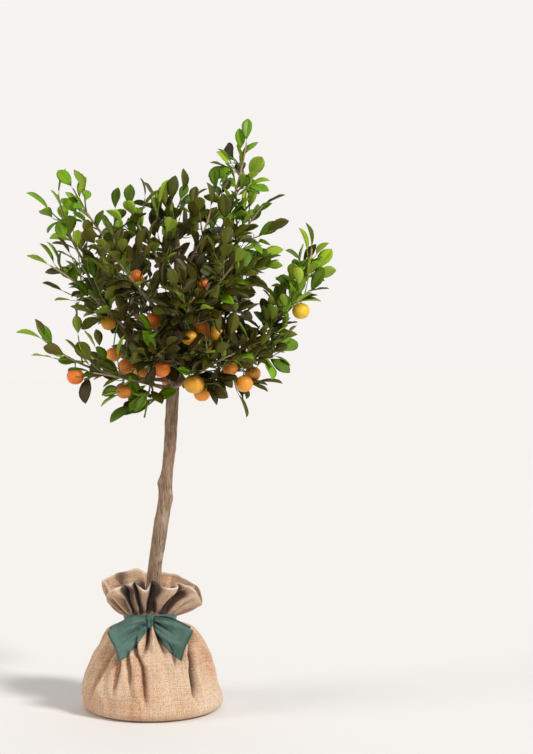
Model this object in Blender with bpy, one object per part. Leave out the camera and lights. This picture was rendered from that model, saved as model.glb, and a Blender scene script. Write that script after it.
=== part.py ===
"""A calamondin orange tree on a clear stem, standing in a tied hessian sack.

Units are metres, +Z is up, and the origin is the middle of the sack's flat underside. The front of
the sack, where the bow is, faces -Y. The tree is a trunk, the boughs that leave it, and masses of
twigs, leaves and fruit; the sack is its filled body, its ruffled collar, a soil plug and the ribbon.
"""
import math
import random
from collections import namedtuple

import bmesh
import bpy
import numpy as np
from mathutils import Vector
from mathutils.bvhtree import BVHTree

# Clearances between pieces that touch on the real plant
GAP = 0.0003
LEAF_GAP = 0.0006

# The filled sack, up to the seam where its collar starts
SACK_PROFILE = (  # height, radius
    (0.0, 0.0900), (0.004, 0.0985), (0.011, 0.1045), (0.024, 0.1075), (0.044, 0.1050),
    (0.060, 0.0995), (0.076, 0.0930), (0.092, 0.0850), (0.107, 0.0750), (0.119, 0.0620),
    (0.1255, 0.0480), (0.130, 0.0385),
)
NECK_RADIUS = 0.0382
SEAM_HEIGHT = 0.137
NECK_OFFSET = -0.004
NECK_TILT = 0.18
KNOT_DENT = 0.0095
CREASES = (  # degrees round low down and at the neck, depth (below 0 for a ridge), height where it fades out
    (-126, -131, 0.0065, 0.022), (-109, -122, 0.0052, 0.034), (-97, -114, 0.0075, 0.020),
    (-100, -96, 0.0060, 0.086), (-78, -81, 0.0055, 0.086), (-53, -40, 0.0115, 0.018),
    (-63, -71, 0.0034, 0.060), (-151, -134, 0.0062, 0.020), (-165, -146, -0.0040, 0.008),
    (-16, -32, -0.0036, 0.036), (-1, -20, 0.0058, 0.028),
)
CREASE_FOOT = 0.020
CREASE_TOP = 0.120
CREASE_WIDTH = 5.6
BACK_CREASES = 8
FRONT_SIDES = 38
BACK_SIDES = 22

# The ruffled collar above the ribbon
COLLAR_RIM = (  # degrees round, height above the seam, radius
    (-169, 0.0330, 0.0705), (-145, 0.0505, 0.0750), (-123, 0.0605, 0.0725), (-113, 0.0600, 0.0690),
    (-102, 0.0525, 0.0650), (-90, 0.0620, 0.0655), (-72, 0.0565, 0.0720), (-53, 0.0590, 0.0695),
    (-34, 0.0515, 0.0710), (-15, 0.0335, 0.0730), (-3, 0.0225, 0.0755), (16, 0.0375, 0.0750),
    (41, 0.0480, 0.0725), (78, 0.0570, 0.0715), (94, 0.0555, 0.0705), (109, 0.0630, 0.0745),
    (136, 0.0595, 0.0755), (164, 0.0530, 0.0780), (177, 0.0430, 0.0715), (184, 0.0360, 0.0685),
)
COLLAR_UPRIGHT = 0.0082
COLLAR_CLOTH = 0.0025
COLLAR_SHARES = (0.0, 0.2, 0.4, 0.6, 0.8, 1.0)
VALLEYS = (  # degrees round at the seam and at the rim
    (-150, -157), (-125, -131), (-109, -116), (-92, -91), (-67, -47), (-52, -34), (-14, -5),
    (8, 14), (34, 38), (60, 62), (84, 85), (106, 104), (130, 128), (154, 150), (180, 177),
)
RUFFLE_DEPTH = 0.012
SOIL_RADIUS = 0.0265
SOIL_TOP = 0.152
SOIL_EDGE = 0.0045
SOIL_SIDES = 24

# The ribbon and its bow
BAND_WIDTH = 0.0120
RIBBON = 0.0016
KNOT_SIZE = (0.0115, 0.0125, 0.0175)
KNOT_HEIGHT = 0.1425
KNOT_EDGE = 0.0042
BOW_ROOT = (0.0048, 0.0070, 0.0034)  # above and below the knot's middle, and half the depth
BOW_ARCH = (0.0045, 0.0020)  # of the upper and the lower edge
BOW_THIN = 0.0016
BOW_END_TOP = (0.0630, -0.0660, 0.1295)
BOW_END_LOW = (0.0450, -0.0840, 0.0880)
BOW_PUFF = 0.0050
BOW_CLEARANCE = 0.0010

# The trunk: height, sideways place and radius of its axis
TRUNK = (
    (SOIL_TOP + GAP, -0.0030, 0.0150), (0.166, -0.0015, 0.0118), (0.190, 0.0010, 0.0104),
    (0.213, 0.0035, 0.0103), (0.245, 0.0085, 0.0110), (0.270, 0.0120, 0.0112),
    (0.314, 0.0188, 0.0104), (0.340, 0.0200, 0.0103), (0.362, 0.0226, 0.0088),
    (0.400, 0.0265, 0.0094), (0.463, 0.0298, 0.0095), (0.520, 0.0335, 0.0090),
    (0.600, 0.0365, 0.0070), (0.660, 0.0385, 0.0052), (0.690, 0.0390, 0.0042),
)
TRUNK_SIDES = 12
TRUNK_RINGS = 26
KNOB_HEIGHT = 0.342
KNOB_SWELL = 0.0022

# Twigs, leaves and fruit
TWIG_RADIUS = 0.0013
TWIG_TIP = 0.0009
TWIG_PLACES = (0.10, 0.88)  # shares of a stem between which its twigs leave
TWIG_LEAN = (42, 62)
TWIG_LIFT = 0.28
GOLDEN = math.radians(137.5)
LEAF_LENGTH = 0.055
LEAF_WIDTH = 0.029
LEAF_THICK = 0.0011
LEAF_STEP = 0.0245
LEAF_LEAN = (48, 66)
LEAF_SIZES = (0.78, 1.08)
FRUIT_RADIUS = 0.0135
FRUIT_FLAT = 0.93
PEDICEL = 0.0012
TRIES = 5
TRY_TURN = 1.1

# One row for each limb. It leaves the trunk at foot, heading round and rising by the first pair of
# degrees, and reaches its tip along the second pair. It is bare up to a share of its length, and then
# carries side twigs up to reach long. Each fruit hangs below a share of the limb, so far down.
Limb = namedtuple("Limb", "name foot start tip end bare thick twigs reach fruits")
LIMBS = (
    Limb("low_left", 0.497, (178, 0), (-0.160, -0.045, 0.560), (160, 38), 0.45, 0.0027, 4, 0.036,
         ((0.73, 0.009), )),
    Limb("mid_left", 0.519, (200, 28), (-0.150, -0.020, 0.668), (185, 30), 0.36, 0.0034, 5, 0.054,
         ((0.52, 0.016), )),
    Limb("left", 0.553, (172, 32), (-0.139, 0.020, 0.775), (150, 80), 0.34, 0.0032, 4, 0.040, ()),
    Limb("top_left", 0.594, (188, 48), (-0.116, -0.010, 0.782), (165, 62), 0.30, 0.0032, 4, 0.050,
         ((0.36, 0.012), )),
    Limb("top_near_left", 0.628, (225, 58), (-0.030, -0.040, 0.752), (200, 70), 0.20, 0.0028, 4, 0.050, ()),
    Limb("top_right", 0.645, (340, 55), (0.088, -0.030, 0.752), (20, 75), 0.20, 0.0028, 4, 0.046, ()),
    Limb("tall_right", 0.614, (20, 50), (0.143, 0.015, 0.853), (20, 80), 0.34, 0.0032, 4, 0.036, ()),
    Limb("upper_right", 0.580, (352, 42), (0.166, -0.015, 0.757), (340, 48), 0.34, 0.0032, 4, 0.050,
         ((0.50, 0.016), )),
    Limb("right", 0.548, (10, 28), (0.162, 0.030, 0.680), (10, 35), 0.32, 0.0030, 4, 0.050, ()),
    Limb("far_right", 0.519, (340, 10), (0.238, -0.030, 0.693), (5, 85), 0.48, 0.0036, 4, 0.034,
         ((0.30, 0.015), (0.80, 0.024))),
    Limb("low_right", 0.495, (345, 4), (0.195, -0.030, 0.572), (350, 55), 0.26, 0.0032, 6, 0.046,
         ((0.21, 0.013), (0.58, 0.016))),
    Limb("low_twig", 0.474, (215, -20), (-0.026, -0.045, 0.462), (205, -25), 0.0, 0.0018, 1, 0.026, ()),
    Limb("low_front", 0.512, (262, 14), (0.005, -0.120, 0.548), (268, 12), 0.16, 0.0030, 4, 0.050,
         ((0.60, 0.012), )),
    Limb("low_front_left", 0.484, (230, 8), (-0.085, -0.090, 0.512), (205, 8), 0.18, 0.0030, 5, 0.048,
         ((0.67, 0.010), )),
    Limb("low_front_right", 0.486, (304, 14), (0.120, -0.095, 0.540), (330, 20), 0.16, 0.0030, 5, 0.048,
         ((0.35, 0.012), )),
    Limb("front", 0.536, (290, 30), (0.060, -0.150, 0.622), (290, 30), 0.22, 0.0032, 5, 0.052,
         ((0.40, 0.012), )),
    Limb("front_left", 0.575, (232, 30), (-0.062, -0.120, 0.690), (225, 42), 0.22, 0.0030, 5, 0.052,
         ((0.34, 0.012), )),
    Limb("front_right", 0.562, (318, 34), (0.118, -0.105, 0.668), (318, 42), 0.22, 0.0030, 5, 0.052,
         ((0.42, 0.010), (0.70, 0.014))),
    Limb("low_back", 0.505, (95, 10), (0.020, 0.135, 0.545), (95, 18), 0.20, 0.0030, 5, 0.052,
         ((0.40, 0.012), (0.75, 0.014))),
    Limb("low_back_left", 0.482, (145, 8), (-0.095, 0.085, 0.520), (150, 15), 0.20, 0.0030, 4, 0.048,
         ((0.60, 0.012), )),
    Limb("back_left", 0.534, (130, 30), (-0.080, 0.120, 0.655), (135, 42), 0.22, 0.0030, 5, 0.054,
         ((0.45, 0.012), )),
    Limb("back_right", 0.530, (50, 22), (0.128, 0.115, 0.615), (50, 36), 0.22, 0.0030, 5, 0.054,
         ((0.50, 0.012), )),
    Limb("back", 0.602, (85, 48), (0.035, 0.110, 0.735), (85, 60), 0.22, 0.0028, 5, 0.052, ()),
)
LEADER = Limb("leader", TRUNK[-1][0] + GAP, (90, 86), (0.032, 0.010, 0.762), (180, 80), 0.0, 0.0036,
              4, 0.046, ())
BOUGH_SIDES = 5
BOUGH_SPANS = 5
STEM_SIDES = 4
STEM_SPANS = 5
LIMB_TIP = 0.0012


def material(name, colour, roughness):
    """A plain finish for one kind of piece."""
    made = bpy.data.materials.new(name)
    made.use_nodes = True
    shader = made.node_tree.nodes["Principled BSDF"]
    shader.inputs["Base Color"].default_value = (*colour, 1.0)
    shader.inputs["Roughness"].default_value = roughness
    shader.inputs["Metallic"].default_value = 0.0
    return made


def place(name, mesh, finish, smooth_under=None):
    """An object for a finished mesh, which becomes one node."""
    made = bpy.data.objects.new(name, mesh)
    mesh.materials.append(finish)
    if smooth_under is not None:
        mesh.shade_smooth()
        mesh.set_sharp_from_angle(angle=math.radians(smooth_under))
    bpy.context.scene.collection.objects.link(made)
    return made


def mesh_of(name, points, faces):
    """A mesh with its faces turned outwards."""
    mesh = bpy.data.meshes.new(name)
    mesh.from_pydata([tuple(p) for p in points], [], faces)
    shape = bmesh.new()
    shape.from_mesh(mesh)
    bmesh.ops.recalc_face_normals(shape, faces=shape.faces)
    shape.to_mesh(mesh)
    shape.free()
    return mesh


def smooth_step(low, high, value):
    """0 below low, 1 above high, and an even rise between."""
    share = min(max((value - low) / (high - low), 0.0), 1.0)
    return share * share * (3 - 2 * share)


def spline(rows, at):
    """The values of a smooth curve through rows, whose first column is where each row stands."""
    rows = np.array(rows, float)
    here = int(np.clip(np.searchsorted(rows[:, 0], at) - 1, 0, len(rows) - 2))
    before, start, end, after = (rows[min(max(here + k, 0), len(rows) - 1)] for k in (-1, 0, 1, 2))
    span = end[0] - start[0]
    share = (at - start[0]) / span
    rise_start = (end - before)[1:] / (end[0] - before[0]) * span
    rise_end = (after - start)[1:] / (after[0] - start[0]) * span
    return (
        (2 * share**3 - 3 * share**2 + 1) * start[1:] + (share**3 - 2 * share**2 + share) * rise_start
        + (3 * share**2 - 2 * share**3) * end[1:] + (share**3 - share**2) * rise_end
    )


def round_from(degrees, rise):
    """The unit direction that heads round from +X and rises above the level."""
    turn, up = math.radians(degrees), math.radians(rise)
    return Vector((math.cos(turn) * math.cos(up), math.sin(turn) * math.cos(up), math.sin(up)))


def bezier(start, start_handle, end_handle, end, share):
    """A point of a cubic curve."""
    rest = 1 - share
    return (
        start * rest**3 + start_handle * (3 * rest * rest * share)
        + end_handle * (3 * rest * share * share) + end * share**3
    )


def bend_curve(start, bend, end):
    """A function from a share of a twig to its place, on one even bend."""
    return lambda share: start * (1 - share) ** 2 + bend * 2 * share * (1 - share) + end * share**2


def rings_faces(rings, sides, closed_ends=True):
    """Faces between rings of points that go round, with flat ends."""
    faces = []
    for k in range(rings - 1):
        here, above = k * sides, (k + 1) * sides
        for i in range(sides):
            beside = (i + 1) % sides
            faces.append((here + i, here + beside, above + beside, above + i))
    if closed_ends:
        faces.append(tuple(reversed(range(sides))))
        faces.append(tuple(range((rings - 1) * sides, rings * sides)))
    return faces


def heading_at(path_at, share):
    """The direction of a path at a share of it."""
    return (path_at(share + 0.004) - path_at(share - 0.004)).normalized()


def tube(path_at, shares, radii, sides):
    """Points and faces of a round limb along a path, with its rings carried on without a twist."""
    points = []
    side = heading_at(path_at, shares[0]).orthogonal()
    for k, share in enumerate(shares):
        centre, along = path_at(share), heading_at(path_at, share)
        side = (side - along * side.dot(along)).normalized()
        across = along.cross(side)
        for i in range(sides):
            turn = 2 * math.pi * i / sides
            points.append(centre + (side * math.cos(turn) + across * math.sin(turn)) * radii[k])
    return points, rings_faces(len(shares), sides)


def cloth_turns():
    """Places round the cloth, in degrees, closer together at the front."""
    front = [-180 + 180.0 * k / FRONT_SIDES for k in range(FRONT_SIDES)]
    return front + [180.0 * k / BACK_SIDES for k in range(BACK_SIDES)]


def sack_creases():
    """Every crease of the sack: the ones that the front shows, and a seeded set round the back."""
    rng = random.Random(3)
    step = 150.0 / BACK_CREASES
    back = []
    for k in range(BACK_CREASES):
        turn = 20 + step * (k + 0.5) + rng.uniform(-0.2, 0.2) * step
        back.append((turn, turn + rng.uniform(-9, 9), rng.uniform(0.003, 0.008), rng.uniform(0.02, 0.06)))
    return list(CREASES) + back


def turned_apart(a, b):
    """The smaller angle between two places round, in degrees."""
    return abs((a - b + 180) % 360 - 180)


def neck_shift(point, share):
    """Moves a point of the sack as its neck is drawn aside and tilted up at the front."""
    return Vector((point.x + NECK_OFFSET * share, point.y, point.z - NECK_TILT * point.y * share))


def cloth_radius(height):
    """The radius of the sack's cloth before its creases are drawn in."""
    return NECK_RADIUS if height > SACK_PROFILE[-1][0] else float(spline(SACK_PROFILE, height)[0])


def drawn_aside(height):
    """How far a height of the cloth follows the neck's shift and tilt."""
    return smooth_step(0.095, SACK_PROFILE[-1][0], height)


def sack_point(turn, height, creases):
    """A point of the filled sack's cloth."""
    radius = cloth_radius(height)
    gathered = smooth_step(0.012, 0.070, height) * (1 - smooth_step(0.118, 0.130, height))
    pressed = smooth_step(0.105, 0.1255, height) * (1 - smooth_step(0.1255, 0.130, height))
    radius -= KNOT_DENT * math.exp(-(turned_apart(turn, -90) / 17.0) ** 2) * pressed
    risen = (height - CREASE_FOOT) / (CREASE_TOP - CREASE_FOOT)
    for low_round, neck_round, depth, fades in creases:
        width = CREASE_WIDTH * (1.6 - 5.0 * height)
        fold = math.exp(-(turned_apart(turn, low_round + (neck_round - low_round) * risen) / width) ** 2)
        radius -= depth * fold * gathered * smooth_step(fades, fades + 0.035, height)
    angle = math.radians(turn)
    point = Vector((radius * math.cos(angle), radius * math.sin(angle), height))
    return neck_shift(point, drawn_aside(height))


def make_sack_body(finish):
    """The cloth round the filled pot, as one solid with a flat underside."""
    creases = sack_creases()
    heights = [row[0] for row in SACK_PROFILE] + [SEAM_HEIGHT - GAP / 2]
    turns = cloth_turns()
    points = [sack_point(turn, height, creases) for height in heights for turn in turns]
    mesh = mesh_of("sack_body", points, rings_faces(len(heights), len(turns)))
    return place("sack_body", mesh, finish, smooth_under=60)


def rim_at(turn):
    """Height above the seam and radius of the collar's rim at a place round."""
    rows = np.array(COLLAR_RIM, float)
    whole = np.array((360.0, 0.0, 0.0))
    rows = np.concatenate([rows[-2:] - whole, rows, rows[:2] + whole])
    first = COLLAR_RIM[0][0]
    return spline(rows, (turn - first) % 360 + first)


def ruffle(turn, share):
    """How far out the collar's cloth stands at a place round: 0 in a valley and 1 on a ridge."""
    marks = [foot + (rim - foot) * share for foot, rim in VALLEYS]
    for low, high in zip(marks, marks[1:] + [marks[0] + 360]):
        part = ((turn - low) % 360) / (high - low)
        if part <= 1:
            return math.sin(math.pi * part) ** 0.7
    return 0.0


def collar_point(turn, share, inner):
    """A point of the collar, from its foot at share 0 to its rim at share 1."""
    angle = math.radians(turn)
    rim, rim_radius = rim_at(turn)
    first = COLLAR_SHARES[1]
    opened = max(0.0, (share - first) / (1 - first))
    above = COLLAR_UPRIGHT * min(1.0, share / first) + (rim - COLLAR_UPRIGHT) * opened
    radius = NECK_RADIUS + (rim_radius - NECK_RADIUS) * math.sin(math.pi / 2 * opened) ** 1.1
    deep = RUFFLE_DEPTH * smooth_step(0.0, 0.5, opened) * (1 - 0.5 * smooth_step(0.5, 1.0, opened))
    radius += deep * (ruffle(turn, share) - 0.6)
    if inner:
        foot = NECK_RADIUS - SOIL_RADIUS - GAP
        radius -= COLLAR_CLOTH + (foot - COLLAR_CLOTH) * (1 - smooth_step(0.0, 0.30, share))
    height = SEAM_HEIGHT + GAP / 2 + above
    point = Vector((radius * math.cos(angle), radius * math.sin(angle), height))
    return neck_shift(point, 1 - smooth_step(0.3, 1.0, share))


def closed_round(rows, sides):
    """Faces of a closed ring, whose section is the rows of points that go round."""
    faces = rings_faces(rows, sides, closed_ends=False)
    last = (rows - 1) * sides
    faces += [(last + i, last + (i + 1) % sides, (i + 1) % sides, i) for i in range(sides)]
    return faces


def make_collar(finish):
    """The gathered cloth above the ribbon: a thin flared ring, open at its top."""
    outer = [(share, False) for share in COLLAR_SHARES]
    inner = [(share, True) for share in reversed(COLLAR_SHARES)]
    rows = outer + inner
    turns = cloth_turns()
    points = [collar_point(turn, share, side) for share, side in rows for turn in turns]
    mesh = mesh_of("sack_collar", points, closed_round(len(rows), len(turns)))
    return place("sack_collar", mesh, finish, smooth_under=60)


def make_soil(finish):
    """The top of the root ball inside the neck: its foot follows the tilted seam and its top is level."""
    points = []
    rings = ((SOIL_RADIUS, None), (SOIL_RADIUS, SOIL_TOP - SOIL_EDGE), (SOIL_RADIUS - SOIL_EDGE, SOIL_TOP))
    for radius, height in rings:
        for i in range(SOIL_SIDES):
            turn = 2 * math.pi * i / SOIL_SIDES
            point = Vector((radius * math.cos(turn), radius * math.sin(turn), SEAM_HEIGHT + GAP / 2))
            point = neck_shift(point, 1.0)
            if height is not None:
                point.z = height
            points.append(point)
    mesh = mesh_of("soil", points, rings_faces(len(rings), SOIL_SIDES))
    return place("soil", mesh, finish, smooth_under=40)


def make_band(finish):
    """The ribbon round the neck."""
    turns = cloth_turns()
    inner = NECK_RADIUS + GAP
    section = (
        (inner, -BAND_WIDTH / 2), (inner + RIBBON, -BAND_WIDTH / 2),
        (inner + RIBBON, BAND_WIDTH / 2), (inner, BAND_WIDTH / 2),
    )
    points = []
    for radius, rise in section:
        for turn in turns:
            angle = math.radians(turn)
            point = Vector((radius * math.cos(angle), radius * math.sin(angle), SEAM_HEIGHT + rise))
            points.append(neck_shift(point, 1.0))
    mesh = mesh_of("ribbon_band", points, closed_round(len(section), len(turns)))
    return place("ribbon_band", mesh, finish, smooth_under=40)


def knot_front():
    """Where the knot's flat back stands, just clear of the ribbon."""
    return -(NECK_RADIUS + GAP + RIBBON + GAP)


def inside_cloth(point):
    """How far a point lies inside the sack's cloth and a small clearance, measured outwards."""
    height = point.z
    for _ in range(3):
        height = point.z + NECK_TILT * point.y * drawn_aside(height)
    aside = NECK_OFFSET * drawn_aside(height)
    return cloth_radius(height) + BOW_CLEARANCE - math.hypot(point.x - aside, point.y)


def make_knot(finish):
    """The wrapped knot of the bow, a rounded block with a flat back."""
    width, depth, tall = KNOT_SIZE
    shape = bmesh.new()
    bmesh.ops.create_cube(shape, size=1.0)
    bmesh.ops.scale(shape, vec=(width, depth, tall), verts=shape.verts)
    front = [e for e in shape.edges if all(v.co.y < 0 for v in e.verts)]
    bmesh.ops.bevel(shape, geom=front, offset=KNOT_EDGE, segments=3, affect="EDGES", profile=0.6)
    centre = Vector((NECK_OFFSET, knot_front() - depth / 2, KNOT_HEIGHT))
    bmesh.ops.translate(shape, vec=centre, verts=shape.verts)
    mesh = bpy.data.meshes.new("bow_knot")
    shape.to_mesh(mesh)
    shape.free()
    return place("bow_knot", mesh, finish, smooth_under=40)


def make_bow_loop(name, side, finish):
    """One drooping loop of the bow, from the knot's flank to its slanted end. side is -1 or 1."""
    flank = NECK_OFFSET + side * (KNOT_SIZE[0] / 2 + GAP)
    stations, around = 7, 10
    knot_y = knot_front() - KNOT_SIZE[1] / 2
    root_above, root_below, root_puff = BOW_ROOT
    top_start = Vector((flank, knot_y, KNOT_HEIGHT + root_above))
    low_start = Vector((flank, knot_y, KNOT_HEIGHT - root_below))
    top_end, low_end = (Vector((NECK_OFFSET + side * x, y, z)) for x, y, z in (BOW_END_TOP, BOW_END_LOW))
    points = []
    for k in range(stations):
        share = k / (stations - 1)
        arch = math.sin(math.pi * share)
        top = top_start.lerp(top_end, share) + Vector((0, 0, BOW_ARCH[0] * arch))
        low = low_start.lerp(low_end, share) + Vector((0, 0, BOW_ARCH[1] * arch))
        swell = math.sin(math.pi * min(1.0, share * 1.15)) ** 0.8
        puff = BOW_THIN + (BOW_THIN + BOW_PUFF * (1 - share)) * swell if k else root_puff
        middle, half = (top + low) / 2, (top - low) / 2
        ring = []
        for i in range(around):
            turn = 2 * math.pi * i / around
            ring.append(middle + half * math.cos(turn) + Vector((0, -puff * math.sin(turn) * side, 0)))
        lift = max(inside_cloth(point) for point in ring) if k else 0.0
        outwards = Vector((middle.x, middle.y, 0.0)).normalized()
        points += [point + outwards * max(0.0, lift) for point in ring]
    return place(name, mesh_of(name, points, rings_faces(stations, around)), finish, smooth_under=50)


def trunk_centre(height):
    """The trunk's axis at a height."""
    sideways = float(spline(TRUNK, height)[0])
    return Vector((sideways, 0.004 * math.sin(9.0 * height), height))


def trunk_rings(extra):
    """Points and faces of the trunk, its surface moved out by extra."""
    foot, top = TRUNK[0][0], TRUNK[-1][0]
    points = []
    for k in range(TRUNK_RINGS):
        height = foot + (top - foot) * (k / (TRUNK_RINGS - 1)) ** 1.15
        centre, radius = trunk_centre(height), float(spline(TRUNK, height)[1]) + extra
        for i in range(TRUNK_SIDES):
            turn = 2 * math.pi * i / TRUNK_SIDES
            knob = math.exp(-((height - KNOB_HEIGHT) / 0.009) ** 2) * max(0.0, -math.cos(turn)) ** 3
            ridge = 0.0004 * math.cos(3 * turn + 14 * height)
            out = radius + KNOB_SWELL * knob + ridge
            points.append(centre + Vector((math.cos(turn), math.sin(turn), 0.0)) * out)
    return points, rings_faces(TRUNK_RINGS, TRUNK_SIDES)


def limb_curve(limb):
    """A function from a share of the limb to its place, from the trunk's axis to its tip."""
    start = Vector(trunk_centre(limb.foot))
    end = Vector(limb.tip)
    handle = (end - start).length * 0.38
    first, last = start + round_from(*limb.start) * handle, end - round_from(*limb.end) * handle
    return lambda share: bezier(start, first, last, end, share)


def limb_radius(limb, share):
    """The limb's taper, quick at its foot and even after."""
    return LIMB_TIP + (limb.thick - LIMB_TIP) * (1 - share) + 0.0010 * math.exp(-share / 0.05)


def cut_clear_of_trunk(made, cutter):
    """Takes the trunk, and a hair more, out of the foot of a limb."""
    cut = made.modifiers.new("clear of the trunk", "BOOLEAN")
    cut.operation = "DIFFERENCE"
    cut.solver = "EXACT"
    cut.object = cutter
    apply_modifiers(made)


def apply_modifiers(made):
    """Gives the object the mesh that its modifiers make."""
    bpy.context.view_layer.update()
    graph = bpy.context.evaluated_depsgraph_get()
    mesh = bpy.data.meshes.new_from_object(made.evaluated_get(graph))
    made.modifiers.clear()
    made.data = mesh


def shell_reach(shell):
    """How far the vertices of a shell reach along all three axes together."""
    return sum(max(v.co[k] for v in shell) - min(v.co[k] for v in shell) for k in range(3))


def keep_largest_shell(made):
    """Drops loose scraps, and the walls of a hollow that fusing sealed."""
    shape = bmesh.new()
    shape.from_mesh(made.data)
    left, shells = set(shape.verts), []
    while left:
        todo, shell = [left.pop()], set()
        while todo:
            vertex = todo.pop()
            shell.add(vertex)
            near = {e.other_vert(vertex) for e in vertex.link_edges} & left
            left -= near
            todo.extend(near)
        shells.append(shell)
    keep = max(shells, key=shell_reach)
    bmesh.ops.delete(shape, geom=[v for v in shape.verts if v not in keep], context="VERTS")
    shape.to_mesh(made.data)
    shape.free()


class Shapes:
    """The closed shapes placed so far, each with its box, for asking what a new one would touch."""

    def __init__(self):
        self.held = []

    def add(self, points, faces, owner):
        tree = BVHTree.FromPolygons([tuple(p) for p in points], faces)
        low = Vector([min(p[k] for p in points) for k in range(3)])
        high = Vector([max(p[k] for p in points) for k in range(3)])
        self.held.append((tree, low, high, owner))

    def touches(self, points, faces, besides=()):
        low = Vector([min(p[k] for p in points) for k in range(3)])
        high = Vector([max(p[k] for p in points) for k in range(3)])
        tree = None
        for other, other_low, other_high, owner in self.held:
            if owner in besides or any(low[k] > other_high[k] or high[k] < other_low[k] for k in range(3)):
                continue
            tree = tree or BVHTree.FromPolygons([tuple(p) for p in points], faces)
            if tree.overlap(other):
                return True
        return False


def leaf_shape(root, along, up, size, grow=0.0):
    """A folded kite of a leaf with 8 faces. Its root is an upright edge inside the twig."""
    side = along.cross(up).normalized()
    up = side.cross(along).normalized()
    length, half = LEAF_LENGTH * size + grow, LEAF_WIDTH * size / 2 + grow
    thick = LEAF_THICK + 2 * grow
    belly = along * (0.56 * length)
    points = (
        root + up * (0.0007 + grow), root - up * (0.0007 + grow),
        root + belly + side * half + up * 0.16 * half, root + belly - side * half + up * 0.16 * half,
        root + along * length - up * 0.10 * length, root + belly - up * 0.02 * length + up * thick / 2,
    )
    faces = ((0, 2, 5), (0, 5, 3), (5, 2, 4), (5, 4, 3), (1, 4, 2), (1, 3, 4), (0, 1, 2), (1, 0, 3))
    return points, faces


def ball_shape(centre, radius):
    """A fruit, slightly flattened, of 36 triangles."""
    sides = 6
    rows = (45, 0, -45)
    points = [centre + Vector((0, 0, radius * FRUIT_FLAT))]
    for rise in rows:
        ring = radius * math.cos(math.radians(rise))
        up = radius * FRUIT_FLAT * math.sin(math.radians(rise))
        points += [centre + round_from(360 * i / sides, 0) * ring + Vector((0, 0, up)) for i in range(sides)]
    points.append(centre - Vector((0, 0, radius * FRUIT_FLAT)))
    faces = [(0, 1 + i, 1 + (i + 1) % sides) for i in range(sides)]
    for k in range(len(rows) - 1):
        upper, lower = 1 + k * sides, 1 + (k + 1) * sides
        for i in range(sides):
            beside = (i + 1) % sides
            faces.append((upper + i, lower + i, lower + beside, upper + beside))
    last = len(points) - 1
    faces += [(last, last - sides + (i + 1) % sides, last - sides + i) for i in range(sides)]
    return points, faces


def twig_curves(limb, number):
    """The side twigs that leave a limb's stem by a seeded rule: each a start, a bend and an end."""
    rng = random.Random(100 + number)
    curve = limb_curve(limb)
    twigs = []
    for k in range(limb.twigs):
        first, last = TWIG_PLACES
        share = limb.bare + (1 - limb.bare) * (first + (last - first) * (k + 0.5) / limb.twigs)
        root = curve(share)
        along = (curve(min(share + 0.02, 1.0)) - curve(share - 0.02)).normalized()
        side = along.orthogonal().normalized()
        spin = GOLDEN * k + number + rng.uniform(-0.5, 0.5)
        out = side * math.cos(spin) + along.cross(side) * math.sin(spin)
        lean = math.radians(rng.uniform(*TWIG_LEAN))
        heading = along * math.cos(lean) + out * math.sin(lean)
        length = limb.reach * (1.2 - 0.65 * (k + 0.5) / limb.twigs) * rng.uniform(0.85, 1.15)
        bend = root + heading * length * 0.55
        end = root + heading * length + Vector((0, 0, TWIG_LIFT * length))
        twigs.append((root, bend, end))
    return twigs


def leaf_places(path_at, length, start, rng):
    """Where leaves stand along a twig or stem, and how each one points: root, outward turn and size."""
    count = max(2, round((length - start) / LEAF_STEP) + 1)
    for k in range(count):
        share = min(1.0, (start + (length - start) * k / (count - 1)) / length)
        here = path_at(share)
        along = (path_at(min(1.0, share + 0.03)) - path_at(max(0.0, share - 0.03))).normalized()
        side = along.orthogonal().normalized()
        spin = GOLDEN * k + rng.uniform(-0.4, 0.4)
        lean = math.radians(rng.uniform(*LEAF_LEAN) - 22 * share)
        size = rng.uniform(*LEAF_SIZES) * (1.0 - 0.18 * share)
        yield here, along, side, spin, lean, size


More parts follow.
